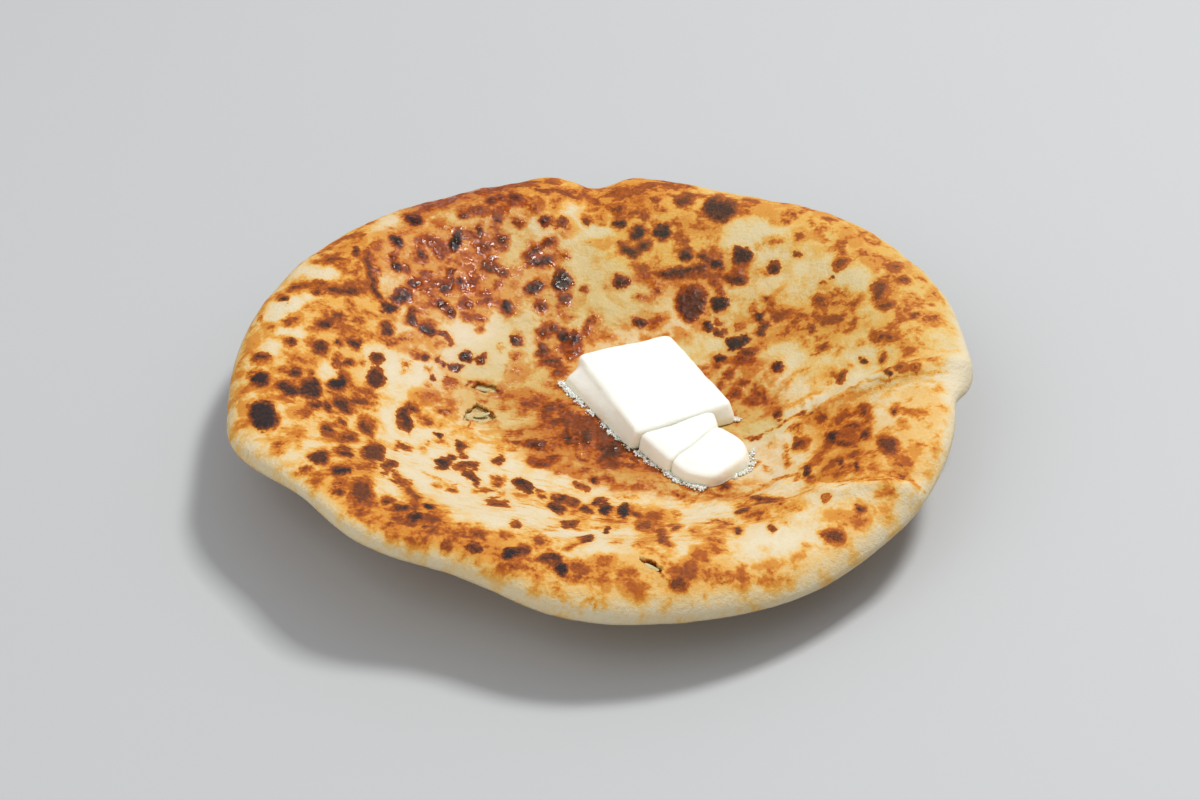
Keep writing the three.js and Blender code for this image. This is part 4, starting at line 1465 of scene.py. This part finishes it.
@dataclass(frozen=True)
class SpicedPotato:
    """Mashed potato with herb and onion."""

    name: str = "spiced_potato"
    mash: Colour = (0.55, 0.38, 0.12)
    light_mash: Colour = (0.66, 0.54, 0.26)
    herb: Colour = (0.12, 0.14, 0.025)

    def make(self) -> bpy.types.Material:
        """Lays out the nodes.

        Returns:
            The material.
        """
        n = Nodes(self.name)
        lumps = n.noise(3.0, 4.0)
        colour = n.mix(n.ramp(lumps, -0.6, 0.8), self.mash, self.light_mash)
        flecks = n.ramp(n.cells(4.5), 0.14, 0.08)
        colour = n.mix(flecks, colour, self.herb)
        return n.surface(bump=lumps, bump_size=0.4, Base_Color=colour, Roughness=0.38)


@dataclass(frozen=True)
class SoftButter:
    """Pale butter, whiter on its upper faces and yellower towards its melting foot."""

    name: str = "butter"
    pale: Colour = (0.90, 0.905, 0.81)
    foot: Colour = (0.86, 0.86, 0.69)
    foot_height: float = 6.5
    pale_height: float = 10.5
    waver: float = 0.6

    def make(self) -> bpy.types.Material:
        """Lays out the nodes.

        Returns:
            The material.
        """
        n = Nodes(self.name)
        split = n.tree.nodes.new("ShaderNodeSeparateXYZ")
        n.tree.links.new(n.coordinates, split.inputs[0])
        wavy = n.noise(7.0, 3.0)
        height = n.over(wavy, self.waver * MM, split.outputs["Z"])
        colour = n.mix(n.ramp(height, self.foot_height * MM, self.pale_height * MM), self.foot, self.pale)
        smear = n.noise(2.0, 3.0, stretch=Vector((0.3, 1.0, 1.0)), turn=30.0)
        rough = n.over(smear, 0.04, 0.34)
        return n.surface(
            bump=n.over(smear, 0.4, wavy), bump_size=0.06, Base_Color=colour, Roughness=rough, IOR=1.46,
            Subsurface_Weight=0.2, Subsurface_Radius=(1.0, 0.9, 0.7), Subsurface_Scale=1.5 * MM,
        )


@dataclass(frozen=True)
class ButterFroth:
    """The froth of melting butter."""

    name: str = "butter_froth"
    colour: Colour = (0.84, 0.83, 0.78)
    brown: Colour = (0.62, 0.50, 0.28)

    def make(self) -> bpy.types.Material:
        """Lays out the nodes.

        Returns:
            The material.
        """
        n = Nodes(self.name)
        tone = n.ramp(n.noise(1.5, 2.0), -0.8, 0.8, 0.0, 0.3)
        colour = n.mix(tone, self.colour, self.brown)
        return n.surface(Base_Color=colour, Roughness=0.16, Subsurface_Weight=0.2, Subsurface_Scale=MM)


@dataclass(frozen=True)
class OnionSliver:
    """Cooked onion, pale and glassy."""

    name: str = "onion"
    colour: Colour = (0.52, 0.43, 0.19)
    vein: Colour = (0.64, 0.57, 0.35)

    def make(self) -> bpy.types.Material:
        """Lays out the nodes.

        Returns:
            The material.
        """
        n = Nodes(self.name)
        veins = n.noise(1.2, 3.0, stretch=Vector((0.2, 1.0, 1.0)))
        colour = n.mix(n.ramp(veins, -0.5, 0.8), self.colour, self.vein)
        return n.surface(bump=veins, bump_size=0.1, Base_Color=colour, Roughness=0.22,
                         Subsurface_Weight=0.2, Subsurface_Scale=2 * MM)


@dataclass(frozen=True)
class PaleFloor:
    """The plain floor of the studio."""

    name: str = "floor"
    colour: Colour = (0.48, 0.49, 0.49)
    cloud: Colour = (0.52, 0.53, 0.54)

    def make(self) -> bpy.types.Material:
        """Lays out the nodes.

        Returns:
            The material.
        """
        n = Nodes(self.name)
        cloudy = n.noise(240.0, 2.0)
        colour = n.mix(n.ramp(cloudy, -1.0, 1.0, 0.0, 0.12), self.colour, self.cloud)
        return n.surface(Base_Color=colour, Roughness=0.6)


Finish = GriddledDough | SpicedPotato | SoftButter | ButterFroth | OnionSliver | PaleFloor


def dress(piece: bpy.types.Object, material: bpy.types.Material, slot: Slot, *nodes: str) -> None:
    """Gives a piece its finish and body, and lets it stand for solids.

    Args:
        piece: the piece.
        material: its finish.
        slot: the record's slot that it belongs to; not used.
        *nodes: the solids that it replaces.
    """
    piece.data.materials.clear()
    piece.data.materials.append(material)
    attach(piece, "root")
    if nodes:
        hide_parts(*nodes)
    mesh = piece.data
    mesh.calc_loop_triangles()
    LOG.info("%s: %d triangles", piece.name, len(mesh.loop_triangles))


# Sub-assemblies


@dataclass
class Bread:
    """The bread's dough: both skins, the rounded edge, the filling's pocket and the tears."""

    form: BreadForm = field(default_factory=BreadForm)
    griddling: Griddling = field(default_factory=Griddling)
    cells: int = 128
    top_fineness: int = 2
    side_rows: int = 6
    pocket_cells: int = 44
    blister_height: float = 0.50
    blister_span: Span = (-1.1, 1.3)
    blister_wander: float = 0.3
    scorch_height: float = 0.14
    scorch_span: Span = (-1.0, 1.5)
    scorch_wander: float = 0.4
    rough_height: float = 0.20
    rough_size: float = 9.0
    rough_seed: float = 3.1
    fine_share: float = 0.45
    fine_size: float = 3.0
    fine_seed: float = 8.7
    wet_height: float = 0.08
    edge_rough_height: float = 0.35
    edge_span: Span = (0.90, 0.99)
    resting_span: Span = (-0.02, 0.10)
    tear_seed: int = 5
    tear_jag: float = 0.45
    tear_cuts: int = 5

    def relief(self, points: Array, share: Array, lift: Array) -> Array:
        """The fine relief on top of the bread's form.

        Args:
            points: places in millimetres, one row each.
            share: their shares of the radius.
            lift: 1 on the top skin, -1 on the underside, between them on the edge.

        Returns:
            How far each place is lifted, in millimetres.
        """
        rough = spun_noise(points, self.rough_size, 3, self.rough_seed)
        fine = spun_noise(points, self.fine_size, 2, self.fine_seed)
        above = lift > 0
        total = np.zeros(len(points))
        for side, read in ((above, self.griddling.top), (~above, self.griddling.under)):
            heat = read(points[side], share[side])
            blister = smoothstep(*self.blister_span, heat.char_edge + self.blister_wander * rough[side])
            scorch = smoothstep(*self.scorch_span, heat.scorch_edge + self.scorch_wander * rough[side])
            total[side] = (
                self.blister_height * blister
                + self.scorch_height * scorch
                + self.rough_height * (rough[side] + self.fine_share * fine[side])
                + self.wet_height * heat.wet * fine[side]
                + heat.crease
            )
        total = total + self.edge_rough_height * smoothstep(*self.edge_span, share) * rough
        flat = self.form.flat_to(np.arctan2(points[:, 1], points[:, 0]))
        resting = smoothstep(*self.resting_span, share - flat)
        return np.where(above, total * np.clip(lift, 0, 1), -total * np.clip(-lift, 0, 1) * resting)

    def skin(self, blank: Array) -> Array:
        """Drapes the puck over the bread's form.

        Args:
            blank: the puck's vertices.

        Returns:
            Their places in millimetres.
        """
        part, angle = disc_polar(blank[:, 0], blank[:, 1])
        reach = self.form.edge_radius(angle)
        inner = 1 - self.form.edge_round / reach
        share = part * inner + (1 - inner) * np.cos(blank[:, 2] * math.pi / 2)
        lift = np.sin(blank[:, 2] * math.pi / 2)
        out = share * reach + self.form.tucks(share, angle)
        x, y = out * np.cos(angle), out * np.sin(angle)
        skin_relief = (self.form.lumps(x, y) + self.form.fold_height(x, y)) * np.clip(lift, 0, 1)
        z = self.form.middle(share, angle) + self.form.half_thickness(share) * lift + skin_relief
        places = np.stack([x, y, z], -1)
        places[:, 2] += self.relief(places, share, lift)
        return places

    def pocket(self, name: str, taken_in: float, cells: int) -> bpy.types.Object:
        """The pocket that the filling lies in, or the filling itself once it is taken in.

        Args:
            name: the object's name.
            taken_in: how much smaller it is all round, in millimetres.
            cells: its cells along each side.

        Returns:
            The closed object.
        """
        bm = disc_blank(cells, 2)
        blank = places_of(bm)
        part, angle = disc_polar(blank[:, 0], blank[:, 1])
        full = self.form.thickness / 2 - self.form.skin
        height = full + (self.form.pocket_edge - full) * part**self.form.pocket_power - taken_in
        reach = self.form.edge_radius(angle)
        share = part * (self.form.filling_share - taken_in / reach)
        z = self.form.middle(share, angle) + blank[:, 2] * height
        move_to(bm, np.stack([share * reach * np.cos(angle), share * reach * np.sin(angle), z], -1))
        bmesh.ops.triangulate(bm, faces=bm.faces[:])
        return object_of(name, bm)

    def tear(self, tear: Tear, seed: int) -> bpy.types.Object:
        """A cutter for a tear with a jagged outline.

        Args:
            tear: the tear.
            seed: the seed of its jags.

        Returns:
            The closed cutter.
        """
        draw = np.random.default_rng(seed)
        bm = bmesh.new()
        corners = [bm.verts.new((x, y, 0)) for x, y in tear.outline]
        bm.faces.new(corners)
        bmesh.ops.subdivide_edges(bm, edges=bm.edges[:], cuts=self.tear_cuts)
        for vertex in bm.verts:
            vertex.co += Vector((*draw.uniform(-self.tear_jag, self.tear_jag, 2), 0))
        bmesh.ops.recalc_face_normals(bm, faces=bm.faces[:])
        thicken(bm, self.form.thickness)
        places = places_of(bm)
        share, angle = self.form.share_and_angle(places[:, 0], places[:, 1])
        places[:, 2] += self.form.middle(share, angle)
        move_to(bm, places)
        bmesh.ops.triangulate(bm, faces=bm.faces[:])
        bmesh.ops.recalc_face_normals(bm, faces=bm.faces[:])
        return object_of(tear.name.replace(" ", "_"), bm)

    def paint(self, mesh: bpy.types.Mesh) -> None:
        """Writes the griddle's fields on the dough, apart from the crease, which is relief alone.

        Args:
            mesh: the finished dough.
        """
        points = vertices_of(mesh)
        share, angle = self.form.share_and_angle(points[:, 0], points[:, 1])
        above = points[:, 2] > self.form.middle(share, angle)
        top, under = self.griddling.top(points, share), self.griddling.under(points, share)
        for name in Heat._fields[:-1]:
            set_attribute(mesh, name, np.where(above, getattr(top, name), getattr(under, name)))

    def build(self, dough: Finish, potato: Finish) -> None:
        """Builds the dough and the filling in it.

        Args:
            dough: the dough's finish.
            potato: the filling's finish.
        """
        bm = disc_blank(self.cells, self.side_rows, self.top_fineness)
        move_to(bm, self.skin(places_of(bm)))
        bmesh.ops.triangulate(bm, faces=bm.faces[:])
        bread = object_of("bread", bm)
        cut_away(bread, self.pocket("pocket", 0.0, self.pocket_cells))
        for i, tear in enumerate(self.form.tears):
            cut_away(bread, self.tear(tear, self.tear_seed + i))
        self.paint(bread.data)
        bread.data.shade_smooth()
        dress(bread, dough.make(), Slot.DOUGH, "dough")
        filling = self.pocket("filling", self.form.gap, self.pocket_cells)
        dress(filling, potato.make(), Slot.POTATO, "potato_filling")


@dataclass(frozen=True)
class ButterPiece:
    """One piece of butter: the outlines of its top and its foot, and the height and lean of its top."""

    node: str
    upper: tuple[Point, ...]
    lower: tuple[Point, ...]
    top: float
    lean: Point
    corner: float


class FrothRun(NamedTuple):
    """A run of froth: its line in plan, its share of the clusters and its width in millimetres."""

    line: tuple[Point, ...]
    share: float
    width: float


def rounded_outline(corners: Sequence[Point], radius: float, at: Array) -> Array:
    """A polygon with rounded corners.

    Args:
        corners: the polygon in plan.
        radius: how far from a corner its curve starts.
        at: shares of the way round, from 0 to 1.

    Returns:
        The points there, one row each.
    """
    points = np.array(corners, float)
    path = []
    for i, corner in enumerate(points):
        before, after = points[i - 1] - corner, points[(i + 1) % len(points)] - corner
        start = corner + before * radius / np.hypot(*before)
        end = corner + after * radius / np.hypot(*after)
        for t in np.linspace(0, 1, CORNER_STEPS + 1):
            path.append((1 - t) ** 2 * start + 2 * t * (1 - t) * corner + t * t * end)
    path.append(path[0])
    path = np.array(path)
    lengths = np.concatenate([[0.0], np.cumsum(np.hypot(*np.diff(path, axis=0).T))])
    wanted = np.mod(at, 1.0) * lengths[-1]
    return np.stack([np.interp(wanted, lengths, path[:, k]) for k in (0, 1)], -1)


@dataclass
class Butter:
    """The slab, the slices cut from it and the froth round them."""

    form: BreadForm = field(default_factory=BreadForm)
    round: float = 2.1
    gap: float = 0.3
    cut: float = 0.5
    cells: int = 56
    side_rows: int = 12
    wave: float = 0.30
    wave_size: float = 9.0
    wave_seed: float = 4.4
    wave_up: float = 0.5
    crown_span: Span = (0.72, 1.0)
    outline_steps: int = 64
    froth_seed: int = 11
    froth_clusters: int = 170
    froth_steps: int = 90
    froth_middle: Point = (20.0, 5.0)
    froth_runs: tuple[FrothRun, ...] = (
        FrothRun(((-13.5, 19.5), (-8, 10), (1.5, -5), (10.5, -18), (22.5, -31.5), (27, -36), (34, -39.5)),
                 0.72, 1.5),
        FrothRun(((47, -3), (41, 9), (33, 25)), 0.16, 1.8),
        FrothRun(((51.5, -20), (50.5, -29), (44, -35)), 0.12, 1.2),
    )
    froth_thick: Span = (0.3, 1.0)
    bubbles: tuple[int, int] = (4, 22)
    bubble_radii: Span = (0.16, 0.50)
    bubble_lifts: Span = (0.3, 0.8)
    bubble_spread: float = 0.5
    bubble_scatter: float = 0.55
    bubble_inwards: float = 0.5
    bubble_flat: float = 0.8
    pieces: tuple[ButterPiece, ...] = (
        ButterPiece("butter_slab", ((12.0, -18.6), (45.2, -1.6), (24.2, 39.2), (-8.5, 26.5)),
                    ((10.5, -18.6), (46.6, -3), (25, 41), (-13.2, 20.2)), 14.6, (0, 0), 2.6),
        ButterPiece("butter_slice_middle", ((23.2, -31.0), (40.2, -12.3), (38.6, -4.2), (12.6, -16.8)),
                    ((22.5, -31.5), (41, -12.5), (38, -4.0), (12.0, -17.5)), 13.3, (0, 0.04), 2.6),
        ButterPiece(
            "butter_slice_end",
            ((30.3, -37.2), (37.8, -38.2), (48.8, -28.8), (49.2, -20.6), (39.0, -11.6), (22.6, -29.8)),
            ((29.5, -37.6), (38.2, -38.6), (50, -29), (50.5, -20), (39.5, -11.6), (22.4, -30.4)),
            12.5, (0, 0.09), 3.8,
        ),
    )
    # rows from the top's rim down the side: how far down, how far in and how far under the top, both in
    # rounds, and the share of the way from the upper outline to the lower one
    rows: tuple[tuple[float, float, float, float], ...] = (
        (0.00, 0.90, 0.12, 0.00),
        (0.12, 0.50, 0.27, 0.00),
        (0.24, 0.20, 0.50, 0.02),
        (0.38, 0.00, 1.00, 0.10),
    )
    shoulder: float = 0.62
    shoulder_down: float = 0.84
    shoulder_at: float = 0.70

    def block(self, piece: ButterPiece, grown: float, cutter: bool) -> bpy.types.Object:
        """A rounded block of butter.

        Args:
            piece: the piece.
            grown: how much larger it is all round, in millimetres.
            cutter: whether it runs down into the bread, to cut its neighbour.

        Returns:
            The closed block.
        """
        bm = disc_blank(self.cells, self.side_rows)
        blank = places_of(bm)
        part, angle = disc_polar(blank[:, 0], blank[:, 1])
        way = np.mod(angle, math.tau) / math.tau
        upper = rounded_outline(piece.upper, piece.corner, way)
        lower = rounded_outline(piece.lower, piece.corner, way)
        around = np.linspace(0, 1, self.outline_steps, endpoint=False)
        outline = rounded_outline(piece.upper, piece.corner, around)
        middle = (outline.min(0) + outline.max(0)) / 2
        down_side = np.clip((1 - blank[:, 2]) / 2, 0, 1)
        table = np.array(self.rows)
        on_side = np.append(table[:, 0], (self.shoulder_at, 1.0))
        taken = np.interp(down_side, on_side, np.append(table[:, 1], (0, 0))) * self.round
        down = np.interp(down_side, on_side, np.append(table[:, 3], (self.shoulder_down, 1.0)))
        shoulder = self.shoulder * piece.top
        heights = np.append(piece.top - table[:, 2] * self.round, (shoulder, shoulder))
        height = np.interp(down_side, on_side, heights)
        on_top = blank[:, 2] > NEARLY_ONE
        crown = table[0, 2] * self.round * smoothstep(*self.crown_span, part)
        height = np.where(on_top, piece.top - crown, height)
        spoke = upper + (lower - upper) * down[:, None] - middle
        length = np.maximum(np.hypot(spoke[:, 0], spoke[:, 1]), SMALL)
        outward = spoke / length[:, None]
        flat = middle + part[:, None] * (spoke + outward * (grown - taken)[:, None])
        soft = np.concatenate([flat, height[:, None]], 1)
        wave = self.wave * spun_noise(soft, self.wave_size, 2, self.wave_seed + piece.top)
        flat = flat + outward * (wave * part)[:, None]
        x, y = flat[:, 0], flat[:, 1]
        z = height + grown + piece.lean[0] * (x - middle[0]) + piece.lean[1] * (y - middle[1])
        z = z + self.wave_up * wave
        if cutter:
            share, bearing = self.form.share_and_angle(x, y)
            foot = self.form.middle(share, bearing) - grown
        else:
            foot = self.form.top_height(x, y) + self.gap
        foot_share = np.clip((down_side - self.shoulder_at) / (1 - self.shoulder_at), 0, 1)
        z = z * (1 - foot_share) + foot * foot_share
        move_to(bm, np.stack([x, y, z], -1))
        bmesh.ops.triangulate(bm, faces=bm.faces[:])
        return object_of(piece.node + ("_cutter" if cutter else "_soft"), bm)

    def bubble_places(self) -> Array:
        """The froth's bubbles, in clusters along the butter's foot.

        Returns:
            The places and the radii of the bubbles in millimetres, one row each.
        """
        draw = np.random.default_rng(self.froth_seed)
        rows = []
        for run in self.froth_runs:
            path = catmull_rom(run.line, self.froth_steps)
            normals = np.gradient(path, axis=0)[:, ::-1] * (1, -1)
            normals /= np.hypot(normals[:, 0], normals[:, 1])[:, None]
            for _ in range(int(run.share * self.froth_clusters)):
                i = int(draw.integers(0, len(path)))
                outwards = normals[i] * np.sign(normals[i] @ (path[i] - self.froth_middle))
                thick = drawn(draw, self.froth_thick)
                for _ in range(int(self.bubbles[0] + (self.bubbles[1] - self.bubbles[0]) * thick)):
                    out = outwards * run.width * thick * abs(draw.normal()) * self.bubble_spread
                    loose = draw.normal(0, self.bubble_scatter, 2)
                    place = path[i] + out + loose - outwards * self.bubble_inwards
                    radius = drawn(draw, self.bubble_radii, 3)
                    rows.append((*place, drawn(draw, self.bubble_lifts), radius))
        bubbles = np.array(rows)
        bubbles[:, 2] += self.form.top_height(bubbles[:, 0], bubbles[:, 1])
        return bubbles

    def froth(self) -> bpy.types.Object:
        """Bubbles of froth along the butter's foot.

        Returns:
            The bubbles, joined in one piece.
        """
        bm = bmesh.new()
        bmesh.ops.create_uvsphere(bm, u_segments=7, v_segments=5, radius=1.0)
        bubble = bpy.data.meshes.new("bubble")
        bm.to_mesh(bubble)
        bm.clear()
        for *place, radius in self.bubble_places() * MM:
            size = Matrix.Diagonal((radius, radius, self.bubble_flat * radius, 1.0))
            pose = Matrix.Translation(Vector(place)) @ size
            bubble.transform(pose)
            bm.from_mesh(bubble)
            bubble.transform(pose.inverted())
        bpy.data.meshes.remove(bubble)
        bmesh.ops.recalc_face_normals(bm, faces=bm.faces[:])
        return object_of("froth", bm)

    def build(self, butter: Finish, froth: Finish) -> None:
        """Builds the pieces of butter and the froth.

        Args:
            butter: the butter's finish.
            froth: the froth's finish.
        """
        material = butter.make()
        for i, piece in enumerate(self.pieces):
            block = self.block(piece, 0.0, cutter=False)
            if i > 0:
                cut_away(block, self.block(self.pieces[i - 1], self.cut, cutter=True))
            block.data.shade_smooth()
            dress(block, material, Slot.BUTTER, piece.node)
        dress(self.froth(), froth.make(), Slot.BUTTER)


class Sliver(NamedTuple):
    """A sliver of onion: its place and sizes in plan, in millimetres, and its turn in degrees."""

    x: float
    y: float
    long: float
    wide: float
    turn: float


@dataclass
class OnionSlivers:
    """Slivers of onion that lie in the tears of the top skin."""

    form: BreadForm = field(default_factory=BreadForm)
    slivers: tuple[Sliver, ...] = (
        Sliver(-40.5, 1.2, 6.0, 1.9, 20.0), Sliver(-43.5, -2.4, 5.0, 1.5, -25.0),
        Sliver(-40.5, 15.2, 6.0, 1.6, -12.0), Sliver(15.8, -108.6, 5.6, 2.0, -38.0),
    )
    thick: float = 0.8
    depth: float = 1.0
    bend: float = 0.05

    def build(self, onion: Finish) -> None:
        """Builds the slivers as one piece.

        Args:
            onion: their finish.
        """
        bm = bmesh.new()
        for x, y, long, wide, turn in self.slivers:
            ball = bmesh.ops.create_uvsphere(bm, u_segments=20, v_segments=12, radius=0.5)["verts"]
            bmesh.ops.scale(bm, verts=ball, vec=(long, wide, self.thick))
            for vertex in ball:
                vertex.co.z += self.bend * vertex.co.x**2
            turned = Matrix.Rotation(math.radians(turn), 3, "Z")
            bmesh.ops.rotate(bm, verts=ball, cent=(0, 0, 0), matrix=turned)
            height = float(self.form.top_height(np.array([x]), np.array([y]))[0]) - self.depth
            bmesh.ops.translate(bm, verts=ball, vec=(x, y, height))
        bmesh.ops.scale(bm, verts=bm.verts[:], vec=(MM, MM, MM))
        bmesh.ops.recalc_face_normals(bm, faces=bm.faces[:])
        dress(object_of("onion_slivers", bm), onion.make(), Slot.POTATO)


@dataclass(frozen=True)
class Studio:
    """The floor, the lights and the camera."""

    picture: Picture = field(default_factory=Picture)
    floor_size: float = 6.0
    key_place: tuple[float, float, float] = (0.80, 0.75, 1.75)
    key_size: float = 0.42
    key_power: float = 33.5
    fill_place: tuple[float, float, float] = (-0.75, -0.70, 0.95)
    fill_size: float = 1.3
    fill_power: float = 5.8
    sky: Colour = (0.95, 0.96, 1.0)
    sky_strength: float = 0.46

    def light(self, name: str, place: tuple[float, float, float], size: float, power: float) -> None:
        """An area light that faces the bread.

        Args:
            name: its name.
            place: where it stands.
            size: its side.
            power: its watts.
        """
        data = bpy.data.lights.new(name, "AREA")
        data.size = size
        data.energy = power
        light = bpy.data.objects.new(name, data)
        bpy.context.collection.objects.link(light)
        light.location = place
        light.rotation_euler = (-Vector(place)).to_track_quat("-Z", "Y").to_euler()

    def build(self) -> None:
        """Builds the studio."""
        bm = bmesh.new()
        bmesh.ops.create_grid(bm, x_segments=1, y_segments=1, size=self.floor_size / 2)
        floor = object_of("floor", bm)
        floor.data.materials.append(PaleFloor().make())
        self.light("key", self.key_place, self.key_size, self.key_power)
        self.light("fill", self.fill_place, self.fill_size, self.fill_power)
        world = bpy.data.worlds.new("studio")
        world.use_nodes = True
        background = world.node_tree.nodes["Background"]
        background.inputs["Color"].default_value = (*self.sky, 1.0)
        background.inputs["Strength"].default_value = self.sky_strength
        bpy.context.scene.world = world
        bpy.context.scene.view_settings.view_transform = "Standard"
        self.picture.camera()


def main() -> None:
    """Builds the paratha and its studio in order."""
    logging.basicConfig(level=logging.INFO, format="%(name)s: %(message)s")
    Studio().build()
    Bread().build(GriddledDough(), SpicedPotato())
    Butter().build(SoftButter(), ButterFroth())
    OnionSlivers().build(OnionSliver())


if __name__ == "__main__":
    main()
